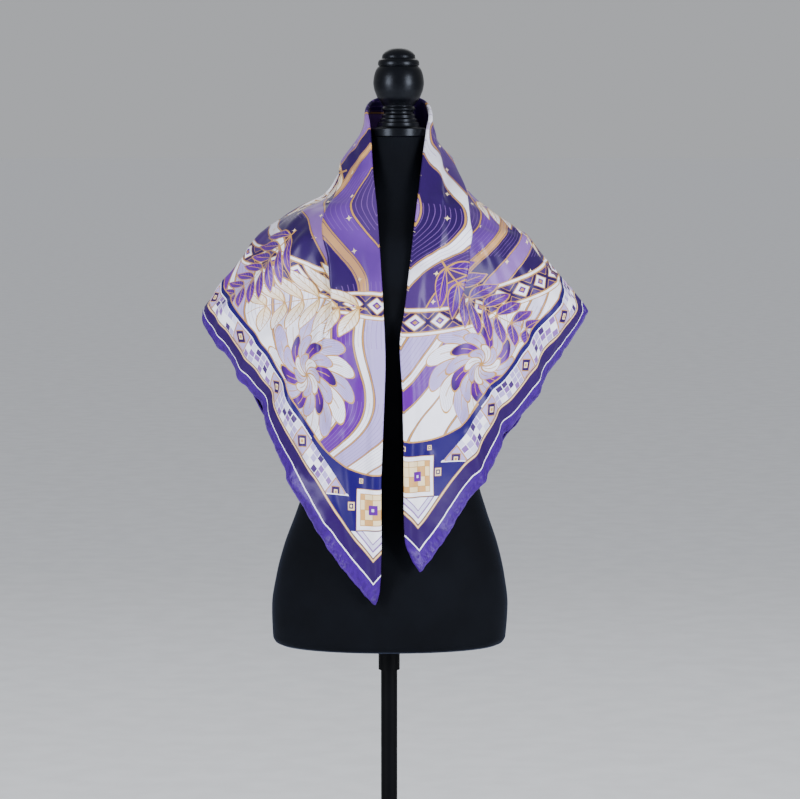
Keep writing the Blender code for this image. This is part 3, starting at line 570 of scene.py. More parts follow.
@dataclass
class Drape:
    """How the folded silk hangs: ribs from its fold line to its hem, over a cape of sections."""

    form: DressForm
    side: float = 0.98
    wall: float = 0.0016
    rest_clearance: float = 0.0028
    fold_offsets: tuple[float, float] = (0.009, 0.018)
    rib_samples: int = 320
    pleat_overlap: float = 0.018
    pleat_height: float = 0.010
    pleat_turn: float = 0.002
    pleat_rise_start: float = 0.9
    lift_is_full: float = 0.5
    slide_starts: float = 0.3
    pleat_margin: float = 2.5
    pleat_share: float = 0.6
    crimp_pitch: float = 0.016
    crimp_reach: float = 0.012
    crimp_height: float = 0.0011
    crimp_seed: int = 7
    hem_puckers: tuple[tuple[float, float, float], ...] = (
        (0.022, 0.014, 0.0008), (0.046, 0.030, 0.0012))
    unevenness: tuple[tuple[float, float, float], ...] = (
        (7.3, 3.1, 0.0004), (4.1, -6.7, 0.0004), (11.9, 8.3, 0.0002))
    cross_wave: float = 0.6

    @property
    def diagonal(self) -> float:
        """The square's diagonal."""
        return self.side * math.sqrt(2)

    @staticmethod
    def section(height: Array, on_right: Array, in_front: Array) -> tuple[Array, ...]:
        """Half-width, depth and squareness of the cape's section at each height."""
        width = np.where(on_right, CAPE.read(height, "right"), CAPE.read(height, "left"))
        depth = np.where(in_front, CAPE.read(height, "front"), CAPE.read(height, "back"))
        square = np.where(in_front, CAPE.read(height, "front_square"),
                          CAPE.read(height, "back_square"))
        return width, depth, square

    def to_cape(self, points: Array) -> tuple[Array, Array, Array]:
        """Turn from the back centre (left is negative), share of the cape's size, and height."""
        x, y, z = points[..., 0] - self.form.lean(points[..., 2]), points[..., 1], points[..., 2]
        width, depth, square = self.section(z, x >= 0, y < 0)
        across, along = np.abs(x / width) ** (square / 2), np.abs(y / depth) ** (square / 2)
        turn = np.arctan2(np.sign(x) * across, np.where(y < 0, -along, along))
        return turn, (across ** 2 + along ** 2) ** (1 / square), z

    def from_cape(self, turn: Array, spread: Array, height: Array) -> Array:
        """The points of the cape at the given turns, sizes and heights."""
        in_front = np.abs(turn) > math.pi / 2
        width, depth, square = self.section(height, turn >= 0, in_front)
        x = np.sign(turn) * width * spread * np.abs(np.sin(turn)) ** (2 / square)
        y = depth * spread * np.abs(np.cos(turn)) ** (2 / square)
        return np.stack([x + self.form.lean(height), np.where(in_front, -y, y), height], axis=-1)

    @staticmethod
    def hem_points(sides: Array) -> Array:
        """Points of the outer hem, counted in sides of the square from the left tip."""
        left = LEFT_HEM.route(np.clip(sides, 0, 1))
        right = RIGHT_HEM.route(np.clip(sides - 1, 0, 1))
        return np.where((sides <= 1)[..., None], left, right)

    def fine_ribs(self, ribs: Array) -> tuple[Array, Array]:
        """Each rib as many points of the cape, from the fold to the hem, and their distances.

        A rib blends its two ends' turn, size and height evenly, and then rests on the form.
        """
        along = np.linspace(0, 1, self.rib_samples)
        start = self.to_cape(FOLD.route(RIBS.read(ribs, "fold")))
        end = self.to_cape(self.hem_points(RIBS.read(ribs, "hem")))
        blend = [a[:, None] + (b - a)[:, None] * along for a, b in zip(start, end)]
        fine = self.form.rest(self.from_cape(*blend), self.rest_clearance)
        return fine, lengths_along(fine)

    def pleats(self, ribs: Array, offset: Array, before: Array,
               after: Array) -> tuple[Array, Array]:
        """How far the pleats carry each point along its rib, and how far out they lift it.

        The middle layer runs back under the upper one. The carry fades evenly to the fold and
        to the hem, and the lift falls from the upper layer to the lower in three ramps.

        Args:
            ribs: the ribs' numbers.
            offset: distance from the pleat's middle on the flat cloth.
            before: length of cloth from the fold to the pleat.
            after: length of cloth from the pleat to the hem.

        Returns:
            The carry and the lift, in metres.
        """
        half, turn = self.pleat_overlap / 2, self.pleat_turn
        ramp = np.clip(offset / half, -1, 1)
        fade = np.where(offset < 0, 1 - (-offset - half) / (before - half),
                        1 - (offset - half) / (after - half))
        slide = self.pleat_overlap * ramp * np.clip(fade, 0, 1)
        turns = sum(step_between(at - turn, at + turn, offset) for at in (-half, half))
        between = np.clip(0.5 + offset / (self.pleat_overlap - 4 * turn), 0, 1)
        height = self.pleat_height - 2 * turn * turns - (self.pleat_height - 4 * turn) * between
        height *= 1 - step_between(half, before * self.pleat_rise_start, -offset)
        carry, lift = np.zeros(offset.shape), np.zeros(offset.shape)
        for pleat in PLEATS.records():
            opening = np.minimum((ribs - pleat["opens"]) / (pleat["full"] - pleat["opens"]),
                                 (pleat["closes"] - ribs) / (pleat["closes"] - pleat["wanes"]))
            carry -= step_between(self.slide_starts, 1.0, opening)[:, None] * slide
            lift += step_between(0.0, self.lift_is_full, opening)[:, None] * height
        return carry, lift

    def along_hem(self, ribs: Array) -> Array:
        """How far along the hem each rib ends, as a column."""
        return RIBS.read(ribs, "hem")[:, None] * self.side

    def fold_lift(self, table: Table, ribs: Array, shares: Array, length: Array) -> Array:
        """How far the folds of a table raise or sink each point.

        Each is a ridge: its height times exp(-(distance / half width)^2) from a line between
        two (rib, share) points.
        """
        lift = np.zeros(shares.shape)
        scale = np.stack(np.broadcast_arrays(2 * self.side, length + 0 * shares), axis=-1)
        here = np.stack(np.broadcast_arrays(ribs[:, None], shares), axis=-1)
        for fold in table.records():
            start = np.array([fold["rib_from"], fold["share_from"]])
            line = (np.array([fold["rib_to"], fold["share_to"]]) - start) * scale
            reach = (here - start) * scale
            t = np.clip((line * reach).sum(-1) / (line * line).sum(-1), 0.0, 1.0)
            away = np.linalg.norm(reach - line * t[..., None], axis=-1)
            lift += fold["height"] * np.exp(-(away / fold["half_width"]) ** 2)
        return lift

    def ripple(self, ribs: Array, shares: Array, length: Array) -> Array:
        """How far the hem's puckers and the cloth's slight unevenness raise each point.

        Puckers are irregular waves along the hem that fade from it as exp(-distance / reach).
        The unevenness is the product of two sines of the flat coordinates.
        """
        from_hem = (1 - shares) * length
        at_hem = self.along_hem(ribs)
        lift = np.zeros(shares.shape)
        for seed, (pitch, reach, height) in enumerate(self.hem_puckers):
            lift += height * waves(at_hem / pitch, seed) * np.exp(-from_hem / reach)
        s, t = np.moveaxis(self.flat_cloth(ribs, shares), -1, 0)
        for over_s, over_t, height in self.unevenness:
            lift += height * np.sin(2 * math.pi * (over_s * s + over_t * t)) * np.sin(
                2 * math.pi * (over_t * s - over_s * t) * self.cross_wave)
        return lift

    def surface(self, ribs: Array, shares: Array) -> tuple[Array, Array]:
        """The middle of the doubled cloth at each rib and share of rib, and its normals."""
        fine, distances = self.fine_ribs(ribs)
        length = distances[:, -1:]
        pleat_at = RIBS.read(ribs, "pleat_at")[:, None] * length
        at = shares * length
        carry, lift = self.pleats(ribs, at - pleat_at, pleat_at, length - pleat_at)
        smooth_cloth = read_rows(fine, distances, at)
        moved = read_rows(fine, distances, np.clip(at + carry, 0, length))
        lift = lift + self.fold_lift(SOFT_FOLDS, ribs, shares, length)
        grid = moved + grid_normals(smooth_cloth) * lift[..., None]
        grid = self.form.rest(grid, self.rest_clearance)
        lift = self.fold_lift(FINE_FOLDS, ribs, shares, length)
        lift += self.ripple(ribs, shares, length)
        grid = grid + grid_normals(grid) * lift[..., None]
        at_hem = self.along_hem(ribs)
        crimp = self.crimp_height * waves(at_hem / self.crimp_pitch, self.crimp_seed)
        crimp = crimp * np.exp(-(1 - shares) * length / self.crimp_reach)
        grid = grid + unit(np.gradient(grid, axis=1)) * crimp[..., None]
        return grid, grid_normals(grid)

    def columns(self, ribs: Array, before: int, inside: int, after: int) -> Array:
        """Shares of each rib that the grid's columns lie at.

        Args:
            ribs: the ribs' numbers.
            before: columns from the fold to the pleat.
            inside: columns across the pleat.
            after: columns from the pleat to the hem.

        Returns:
            One row of shares a rib.
        """
        _, distances = self.fine_ribs(ribs)
        half = self.pleat_overlap / 2 + self.pleat_margin * self.pleat_turn
        pleat_at = RIBS.read(ribs, "pleat_at")[:, None]
        reach = np.minimum(half / distances[:, -1:], self.pleat_share * pleat_at)
        start, end = pleat_at - reach, pleat_at + reach
        return np.concatenate([
            start * np.linspace(0, 1, before, endpoint=False),
            start + (end - start) * np.linspace(0, 1, inside, endpoint=False),
            end + (1 - end) * np.linspace(0, 1, after)], axis=1)

    def flat_cloth(self, ribs: Array, shares: Array) -> Array:
        """Where each point of the outer layer lies on the flat square.

        The first coordinate runs along the true diagonal from the square's middle, the second
        away from it towards the back corner. A rib is a straight line on the flat cloth, from
        the fold (beyond the diagonal by the fold's offset) to the hem.
        """
        half, root = self.diagonal / 2, math.sqrt(2)
        offset = np.interp(ribs, (0, 1), self.fold_offsets)
        arc = RIBS.read(ribs, "fold") * self.diagonal
        from_left, from_right = (
            np.where(run < lap * root, run / root,
                     run - (root - 1) * lap * (1 - run / half).clip(0, 1))
            for run, lap in zip((arc, self.diagonal - arc), self.fold_offsets))
        s_fold = np.where(arc < half, from_left - half, half - from_right)
        t_fold = -np.minimum(offset, np.where(arc < half, from_left, from_right))
        hem = RIBS.read(ribs, "hem")
        s_hem = (hem - 1) * half
        t_hem = half - np.abs(s_hem)
        s = s_fold[:, None] + (s_hem - s_fold)[:, None] * shares
        t = t_fold[:, None] + (t_hem - t_fold)[:, None] * shares
        return np.stack([s, t], axis=-1)


@dataclass
class SilkSquare:
    """The folded square: one sheet in two layers, with a hand-rolled hem on each side."""

    drape: Drape
    end_ribs: int = 190
    back_ribs: int = 110
    before_pleat: int = 46
    in_pleat: int = 40
    after_pleat: int = 60
    under_columns: int = 36
    fold_columns: int = 7
    fold_roll: float = 0.0026
    fold_roll_reach: float = 0.012
    under_least: float = 0.25
    hem_radius: float = 0.0015
    hem_sides: int = 10
    hem_spacing: float = 0.0022
    hem_beside: float = 0.7
    hem_below: float = 0.4
    hem_wave: tuple[float, float] = (0.03, 0.10)
    stitch_pitch: float = 0.0066
    stitch_depth: float = 0.13
    stitch_narrowness: int = 8
    under_hem_from: float = 2.5
    tip_points: tuple[int, int] = (12, 16)
    tip_rib: float = 0.0007
    seam_ribs: tuple[float, float] = (0.300, 0.700)

    def __post_init__(self) -> None:
        """Works out the cloth's middle, its normals and its flat coordinates."""
        left, right = self.seam_ribs
        self.ribs = np.concatenate([
            np.linspace(self.tip_rib, left, self.end_ribs),
            np.linspace(left, right, self.back_ribs)[1:],
            np.linspace(right, 1 - self.tip_rib, self.end_ribs)[1:]])
        self.shares = self.drape.columns(self.ribs, self.before_pleat, self.in_pleat,
                                         self.after_pleat)
        self.middle, self.outward = self.drape.surface(self.ribs, self.shares)
        self.flat = self.drape.flat_cloth(self.ribs, self.shares)
        self.run = lengths_along(self.middle)

    def gap(self, run: Array) -> Array:
        """Half the distance between the layers: it swells a little at the soft fold."""
        swell = (self.fold_roll - self.drape.wall / 2) * np.exp(-(run / self.fold_roll_reach) ** 2)
        return self.drape.wall / 2 + swell

    def inset(self) -> Array:
        """How far inside the outer hem the under layer ends, one number a rib."""
        return math.sqrt(2) * np.interp(self.ribs, (0, 1), self.drape.fold_offsets)

    def under_layer(self) -> tuple[Array, Array, Array, Array]:
        """The under layer from its hem to the fold.

        Returns:
            The middle of the doubled cloth there, its normals, its length run from the fold and
            the under layer's own flat coordinates.
        """
        length = self.run[:, -1]
        reach = np.maximum(length - self.inset(), self.under_least * length)
        wanted = reach[:, None] * np.linspace(1, 0, self.under_columns)
        both = np.concatenate([self.middle, self.outward, self.flat], axis=-1)
        read = read_rows(both, self.run, wanted)
        flat = read[..., 6:].copy()
        flat[..., 1] = 2 * self.flat[:, :1, 1] - flat[..., 1]
        return read[..., :3], unit(read[..., 3:6]), wanted, flat

    def sheet_grid(self) -> tuple[Array, Array]:
        """The whole sheet: the under layer, the half-round fold and the outer layer.

        Returns:
            The grid of points and the flat coordinates.
        """
        middle, outward, run, flat = self.under_layer()
        under = middle - outward * self.gap(run)[..., None]
        outer = self.middle + self.outward * self.gap(self.run)[..., None]
        edge, normal = self.middle[:, :1], self.outward[:, :1]
        away = unit(self.middle[:, :1] - self.middle[:, 1:2])
        turn = np.linspace(-math.pi / 2, math.pi / 2, self.fold_columns + 2)[None, 1:-1, None]
        roll = edge + self.fold_roll * (np.sin(turn) * normal + np.cos(turn) * away)
        fold_flat = np.repeat(self.flat[:, :1], self.fold_columns, axis=1)
        return (np.concatenate([under, roll, outer], axis=1),
                np.concatenate([flat, fold_flat, self.flat], axis=1))

    def hem_tube(self, line: Array, seed: int) -> Array:
        """A rolled hem along a line: a plump tube that narrows at each stitch.

        The radius is hem_radius times 1 + a share of an irregular wave, less the stitch's depth
        times a high power of a cosine, which peaks at each stitch.

        Args:
            line: the hem's middle.
            seed: picks the irregular wave.

        Returns:
            The grid of points.
        """
        along = lengths_along(line)
        at = np.linspace(0, along[-1], int(along[-1] / self.hem_spacing))
        even = read_row(line, along, at)
        even[1:-1] = (even[:-2] + 2 * even[1:-1] + even[2:]) / 4
        stitch = np.cos(2 * math.pi * at / self.stitch_pitch) ** self.stitch_narrowness
        pitch, height = self.hem_wave
        radius = self.hem_radius * (1 + height * waves(at / pitch, seed)
                                    - self.stitch_depth * stitch)
        return domed(tube_grid(even, radius, self.hem_sides), radius[[0, -1]])

    @staticmethod
    def beside(edge: Array, inner: Array, outward: Array, distance: float) -> Array:
        """A line beside an edge of the cloth, on the side away from its inner points."""
        side = unit(np.cross(np.gradient(edge, axis=0), outward))
        side *= np.sign(((edge - inner) * side).sum(-1, keepdims=True))
        return edge + side * distance

    def hem_lines(self) -> dict[str, Array]:
        """The middle of each rolled hem."""
        corner = int(np.argmin(np.abs(self.ribs - 0.5)))
        beside, below = self.hem_radius * self.hem_beside, self.hem_radius * self.hem_below
        outer = self.beside(self.middle[:, -1], self.middle[:, -3], self.outward[:, -1], beside)
        tips = FOLD.route(np.array([0.0, 1.0]))
        middle, outward, run, _ = self.under_layer()
        rim = middle[:, 0] - outward[:, 0] * (self.gap(run)[:, :1] + below)
        wide = self.run[:, -1] > self.under_hem_from * self.inset()
        under = self.beside(rim, middle[:, 2], outward[:, 0], beside)
        first, last = np.flatnonzero(wide)[[0, -1]]
        left, right = (offset * math.sqrt(2) / self.drape.diagonal
                       for offset in self.drape.fold_offsets)
        left_points, right_points = self.tip_points
        return {
            "rolled_hem_left": np.vstack([tips[:1], outer[:corner + 1]]),
            "rolled_hem_right": np.vstack([outer[corner:], tips[1:]]),
            "rolled_under_left": under[first:corner + 1],
            "rolled_under_right": under[corner:last + 1],
            "rolled_tip_left": FOLD.route(np.linspace(0.0, left, left_points)),
            "rolled_tip_right": FOLD.route(np.linspace(1 - right, 1.0, right_points)),
        }

    def build(self, silk: bpy.types.Material, hem: bpy.types.Material) -> None:
        """Makes the sheet and its hems, and says what they stand for."""
        points, flat = self.sheet_grid()
        sheet = new_object("silk_square", grid_mesh("silk_square", points, flat=flat), silk)
        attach(sheet, "root")
        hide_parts("scarf_left_end", "scarf_back", "scarf_right_end")
        stands_for = {"rolled_hem_left": "outer_hem_left", "rolled_hem_right": "outer_hem_right",
                      "rolled_under_left": "under_hem_left",
                      "rolled_under_right": "under_hem_right"}
        hems = []
        for seed, (name, line) in enumerate(self.hem_lines().items()):
            mesh = grid_mesh(name, self.hem_tube(line, seed), wrap=True, caps=True)
            hems.append(new_object(name, mesh, hem))
            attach(hems[-1], "root")
            if name in stands_for:
                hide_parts(stands_for[name])
        LOG.info("silk square: %d points, %d hems", points.shape[0] * points.shape[1], len(hems))


# ---- shader helpers


Colour = tuple[float, float, float]
Paint = "Term | Ink | Colour"


def reckoned(kind: str, meaning: str) -> Callable[..., Term]:
    """A method that puts a Math node of one kind over a term and the numbers given.

    Args:
        kind: the node's operation.
        meaning: what comes out, for the method's docstring.

    Returns:
        The method.
    """

    def method(self: Term, *others: Term | float) -> Term:
        return self.math(kind, *others)

    method.__doc__ = meaning
    return method


class Term:
    """A number or colour that changes over the surface: an output socket that can be reckoned."""

    def __init__(self, tree: bpy.types.NodeTree, socket: bpy.types.NodeSocket) -> None:
        """Keeps the socket and the tree that it is in."""
        self.tree, self.socket = tree, socket

    def math(self, kind: str, *others: Term | float) -> Term:
        """A Math node of this kind over this number and the others."""
        node = self.tree.nodes.new("ShaderNodeMath")
        node.operation = kind
        for place, value in enumerate((self, *others)):
            feed(node.inputs[place], value)
        return Term(self.tree, node.outputs[0])

    __add__ = reckoned("ADD", "Sum.")
    __sub__ = reckoned("SUBTRACT", "Difference.")
    __mul__ = reckoned("MULTIPLY", "Product.")
    __truediv__ = reckoned("DIVIDE", "Quotient.")
    __abs__ = reckoned("ABSOLUTE", "Size without sign.")
    near = reckoned("COMPARE", "1 within the second number of the first, else 0.")
    above = reckoned("GREATER_THAN", "1 above the number given, else 0.")
    below = reckoned("LESS_THAN", "1 below the number given, else 0.")
    least = reckoned("MINIMUM", "The smaller of the two.")
    most = reckoned("MAXIMUM", "The larger of the two.")
    cell = reckoned("FLOOR", "Which whole cell the number lies in.")
    share = reckoned("FRACT", "The part of the number past a whole one.")

    def in_cell(self) -> Term:
        """Where in its cell the number lies, from -0.5 to 0.5."""
        return self.share() - 0.5

    def held(self, start: float, gain: float, top: float) -> Term:
        """Gain times what the number has above the start, held between 0 and top."""
        return ((self - start) * gain).most(0.0).least(top)

    def parts(self) -> list[Term]:
        """The x, y and z of a vector."""
        node = self.tree.nodes.new("ShaderNodeSeparateXYZ")
        feed(node.inputs[0], self)
        return [Term(self.tree, socket) for socket in node.outputs]

    def over(self, under: Paint, colour: Paint) -> Term:
        """The colour where this mask is 1, and what is under it where it is 0."""
        node = self.tree.nodes.new("ShaderNodeMix")
        node.data_type = "RGBA"
        for place, value in ((0, self), (6, under), (7, colour)):
            feed(node.inputs[place], value)
        return Term(self.tree, node.outputs[2])

    def steps(self, *rows: tuple[float, Ink | Colour], top: float = 1.0,
              smooth_steps: bool = False) -> Term:
        """A colour ramp over this number, each row's colour from its place on.

        Args:
            rows: places, rising, and their colours.
            top: the place where the ramp ends.
            smooth_steps: eases from colour to colour.

        Returns:
            The colour.
        """
        node = self.tree.nodes.new("ShaderNodeValToRGB")
        ramp = node.color_ramp
        ramp.interpolation = "EASE" if smooth_steps else "CONSTANT"
        while len(ramp.elements) < len(rows):
            ramp.elements.new(1.0)
        for element, (place, colour) in zip(ramp.elements, rows):
            element.position = place / top
            element.color = (*plain(colour), 1.0)
        feed(node.inputs[0], self if top == 1.0 else self / top)
        return Term(self.tree, node.outputs[0])


def plain(colour: Ink | Colour) -> Colour:
    """An ink's colour, or the colour itself."""
    return colour.value if isinstance(colour, Enum) else colour


def feed(socket: bpy.types.NodeSocket, value: Paint | float) -> None:
    """Links a term to a socket, or sets the socket to a number or colour."""
    value = plain(value)
    if isinstance(value, Term):
        value.tree.links.new(value.socket, socket)
    elif isinstance(value, tuple) and len(socket.default_value) == 4:
        socket.default_value = (*value, 1.0)
    else:
        socket.default_value = value


def hypot(x: Term, y: Term) -> Term:
    """The square root of x^2 + y^2."""
    return (x * x + y * y).math("SQRT")


class Group:
    """A shader node group under way: named number inputs, and outputs that are colours or masks."""

    def __init__(self, name: str, outputs: str, **inputs: float) -> None:
        """Makes the group's tree.

        Args:
            name: the group's name.
            outputs: output names; "colour" is a colour and the others are numbers.
            inputs: number inputs and their usual values; "flat" is added as a vector.
        """
        self.tree = bpy.data.node_groups.new(name, "ShaderNodeTree")
        face = self.tree.interface
        face.new_socket(name="flat", in_out="INPUT", socket_type="NodeSocketVector")
        for key, value in inputs.items():
            made = face.new_socket(name=key, in_out="INPUT", socket_type="NodeSocketFloat")
            made.default_value = value
        for key in outputs.split():
            kind = "NodeSocketColor" if key == "colour" else "NodeSocketFloat"
            face.new_socket(name=key, in_out="OUTPUT", socket_type=kind)
        self.source = self.tree.nodes.new("NodeGroupInput")
        self.sink = self.tree.nodes.new("NodeGroupOutput")

    def number(self, name: str) -> Term:
        """One of the group's inputs."""
        return Term(self.tree, self.source.outputs[name])

    def flat_pair(self) -> tuple[Term, Term]:
        """The two flat coordinates."""
        return tuple(self.number("flat").parts()[:2])

    def centred(self) -> tuple[Term, Term]:
        """The two flat coordinates less the group's centre."""
        s, t = self.flat_pair()
        return s - self.number("centre_s"), t - self.number("centre_t")

    def put(self, **values: Term) -> Group:
        """Sends terms out of the group, by name."""
        for name, value in values.items():
            feed(self.sink.inputs[name], value)
        return self

    def use(self, vector: Term, **values: float) -> dict[str, Term]:
        """Places the group in a material.

        Args:
            vector: what feeds "flat".
            values: its numbers, by name.

        Returns:
            The group's outputs by name.
        """
        node = vector.tree.nodes.new("ShaderNodeGroup")
        node.node_tree = self.tree
        feed(node.inputs["flat"], vector)
        for key, value in values.items():
            feed(node.inputs[key], value)
        return {socket.name: Term(vector.tree, socket) for socket in node.outputs}


# ---- the print


class Ink(Enum):
    """The print's colours, as linear light."""

    VIOLET = (0.040, 0.004, 0.168)
    DEEP_VIOLET = (0.020, 0.004, 0.072)
    INDIGO = (0.010, 0.003, 0.092)
    SLATE = (0.050, 0.021, 0.118)
    SHADOW = (0.018, 0.006, 0.062)
    MAUVE = (0.205, 0.098, 0.360)
    LAVENDER = (0.370, 0.305, 0.610)
    PALE = (0.610, 0.590, 0.800)
    WHITE = (0.840, 0.830, 0.940)
    CREAM = (0.780, 0.620, 0.370)
    SAND = (0.560, 0.300, 0.100)
    GOLD = (0.440, 0.235, 0.055)
    PURPLE = (0.092, 0.006, 0.238)
    AMETHYST = (0.105, 0.034, 0.258)


Ramp = tuple[tuple[float, Ink], ...]


@dataclass(frozen=True)
class BorderPlan:
    """Measures of the printed border, in metres.

    Places named from_hem are counted in from the hem, those named from_corner from the square's
    corner along its diagonal, and studs as (along, off) the block's middle.
    """

    stripes: Ramp = (
        (0.0, Ink.VIOLET), (0.0158, Ink.WHITE), (0.0172, Ink.DEEP_VIOLET),
        (0.0348, Ink.INDIGO), (0.0354, Ink.GOLD), (0.0364, Ink.CREAM), (0.0378, Ink.GOLD),
        (0.0390, Ink.INDIGO), (0.0402, Ink.MAUVE), (0.0660, Ink.WHITE), (0.0676, Ink.INDIGO),
        (0.0745, Ink.GOLD))
    stripes_top: float = 0.080
    width: float = 0.0765
    rumpled_width: float = 0.016
    tile: float = 0.0087
    joint: float = 0.44
    stud_line: tuple[float, float] = (0.45, 0.03)
    tiles_from_hem: float = 0.0402
    tiles_to: float = 0.0660
    tiles_middle: float = 0.0531
    tiles_half: float = 0.0129
    tile_inks: Ramp = (
        (0.0, Ink.LAVENDER), (0.3, Ink.PALE), (0.55, Ink.MAUVE), (0.75, Ink.WHITE),
        (0.9, Ink.SLATE))
    lozenge_inks: Ramp = (
        (0.0, Ink.GOLD), (0.09, Ink.CREAM), (0.17, Ink.DEEP_VIOLET), (0.34, Ink.GOLD),
        (0.40, Ink.LAVENDER))
    end_centre: float = 0.400
    end_from_hem: float = 0.0745
    end_line: tuple[float, float] = (0.0010, 0.0011)
    cut_from_corner: float = 0.1330
    brink_to: float = 0.0672
    block_from_corner: float = 0.1160
    vee_from_corner: float = 0.0900
    studs: tuple[tuple[float, float, float], ...] = (
        (-0.0350, 0.0190, 0.0032), (-0.0040, 0.0330, 0.0052))
    stud_inks: Ramp = (
        (0.0, Ink.CREAM), (0.14, Ink.DEEP_VIOLET), (0.30, Ink.CREAM), (0.43, Ink.GOLD))
    chevrons: Ramp = (
        (0.0, Ink.WHITE), (0.0445, Ink.MAUVE), (0.0465, Ink.PALE), (0.0510, Ink.MAUVE),
        (0.0525, Ink.WHITE))
    block_top: float = 0.04
    pane: float = 0.0123
    pane_line: float = 0.47
    eye: Ramp = ((0.0, Ink.PALE), (0.0016, Ink.PURPLE))
    eye_reach: float = 0.0060
    panes_reach: float = 0.0188
    frame: Ramp = (
        (0.0, Ink.GOLD), (0.0198, Ink.WHITE), (0.0246, Ink.GOLD), (0.0254, Ink.DEEP_VIOLET))
    frame_reach: float = 0.0264


@dataclass
class PrintDesign:
    """An all-over design for the square: banded border, flowing bands, rosettes and sprays.

    It is laid out on the cloth's flat coordinates s (along the diagonal) and t (off it).
    """

    diagonal: float
    plan: BorderPlan = BorderPlan()
    line: float = 0.0012
    wave_pitch: float = 0.230
    hatch_pitch: float = 0.0062
    hatch_line: float = 0.07
    hatch_strength: float = 0.55
    vein_strength: float = 0.6
    wave_edges: Ramp = (
        (0.0, Ink.WHITE), (0.22, Ink.PALE), (0.32, Ink.WHITE), (0.50, Ink.LAVENDER),
        (0.66, Ink.WHITE), (0.72, Ink.PURPLE), (0.86, Ink.WHITE))
    shade_inks: tuple[Ink, ...] = (Ink.SHADOW, Ink.WHITE, Ink.SLATE, Ink.AMETHYST, Ink.SAND,
                                   Ink.SHADOW, Ink.MAUVE)
    ring_radius: float = 0.355
    ring_squash: float = 0.78
    ring_pitch: float = 0.0260
    ring_reach: float = 0.0270
    ring_half: float = 0.0182
    ring_inks: Ramp = (
        (0.0, Ink.GOLD), (0.09, Ink.PURPLE), (0.19, Ink.WHITE), (0.36, Ink.GOLD),
        (0.42, Ink.SHADOW), (0.62, Ink.GOLD), (0.66, Ink.SLATE))
    ring_lines: tuple[tuple[float, float, Ink], ...] = (
        (0.0128, 0.0010, Ink.GOLD), (0.0155, 0.0018, Ink.WHITE), (0.0176, 0.0007, Ink.GOLD))

    def tiles(self, inside: Term, along: Term) -> Term:
        """Three rows of small squares of chance colours, with a stud in every third block.

        A tile's chance number is the fraction of 43758.5 sin(12.99 row + 78.2 column).
        """
        plan = self.plan
        row, column = (inside - plan.tiles_from_hem) / plan.tile, along / plan.tile
        shade = row.cell() * 12.9898 + column.cell() * 78.233
        shade = (shade.math("SINE") * 43758.5453).share()
        joint = abs(row.in_cell()).most(abs(column.in_cell())).above(plan.joint)
        tile = joint.over(shade.steps(*plan.tile_inks), Ink.WHITE)
        block = along / (3 * plan.tile)
        height = (inside - plan.tiles_middle) / (3 * plan.tile)
        third = abs(block.cell().math("MODULO", 3.0)).near(1.0, 0.1)
        frame = abs(block.in_cell()).most(abs(height))
        figure = (abs(block.in_cell()) + abs(height)).steps(*plan.lozenge_inks)
        return third.over(tile, frame.near(*plan.stud_line).over(figure, Ink.GOLD))

    def corner_block(self, along: Term, t: Term) -> tuple[Term, Term]:
        """The checked block in each corner: its panes, eye and frame, and where it lies."""
        plan = self.plan
        block = abs(along).most(abs(t))
        pane_s, pane_t = along / plan.pane, t / plan.pane
        odd = abs(pane_s.cell() + pane_t.cell()).near(1.0, 0.1)
        panes = odd.over(Ink.CREAM, Ink.SAND)
        lines = abs(pane_s.in_cell()).most(abs(pane_t.in_cell()))
        panes = lines.above(plan.pane_line).over(panes, Ink.GOLD)
        eye = block.steps(*plan.eye, top=plan.block_top)
        panes = block.below(plan.eye_reach).over(panes, eye)
        frame = block.steps(*plan.frame, top=plan.block_top)
        return (block.below(plan.panes_reach).over(frame, panes),
                block.below(plan.frame_reach))

    def border(self) -> Group:
        """Stripes along each side, a band of small squares, and the indigo corners.

        With inside = (diagonal/2 - |s| - |t|)/sqrt 2 and along = (|s| - |t|)/sqrt 2, the
        stripes follow `inside` and the squares follow both.
        """
        plan, half = self.plan, self.diagonal / 2
        group = Group("border_print", "colour mask edge")
        s, t = group.flat_pair()
        wide, high = abs(s), abs(t)
        inside = ((wide + high) * -1.0 + half) / math.sqrt(2)
        along = (wide - high) / math.sqrt(2)
        colour = inside.near(plan.tiles_middle, plan.tiles_half).over(
            inside.steps(*plan.stripes, top=plan.stripes_top), self.tiles(inside, along))
        from_end = hypot(wide - plan.end_centre, high)
        end_radius = (half - plan.end_centre) / math.sqrt(2) - plan.end_from_hem
        cut = wide - (half - plan.cut_from_corner)
        corner = from_end.above(end_radius) * (wide - high).above(plan.end_centre)
        corner = corner * inside.above(plan.tiles_to).most(cut.above(0.0))
        corner = corner * inside.above(plan.tiles_from_hem)
        brink = cut.near(0.0, self.line) * inside.below(plan.brink_to)
        ground = brink.over(Ink.INDIGO, Ink.WHITE)
        off_end, reach = plan.end_line
        ground = from_end.near(end_radius + off_end, reach).over(ground, Ink.GOLD)
        block_s = wide - (half - plan.block_from_corner)
        for off_s, off_t, size in plan.studs:
            stud = abs(block_s - off_s).most(abs(high - off_t)) / (2 * size)
            ground = stud.below(0.5).over(ground, stud.steps(*plan.stud_inks))
        chevrons = inside.steps(*plan.chevrons, top=plan.stripes_top)
        ground = wide.above(half - plan.vee_from_corner).over(ground, chevrons)
        block, block_mask = self.corner_block(block_s, t)
        ground = block_mask.over(ground, block)
        # edge is 1 at the hem and 0 at rumpled_width in from it; it places both the crinkle bump
        # and the painted shade in the crinkles.
        return group.put(colour=corner.over(colour, ground),
                         mask=inside.below(plan.width).most(corner),
                         edge=(inside / -plan.rumpled_width + 1.0).most(0.0))

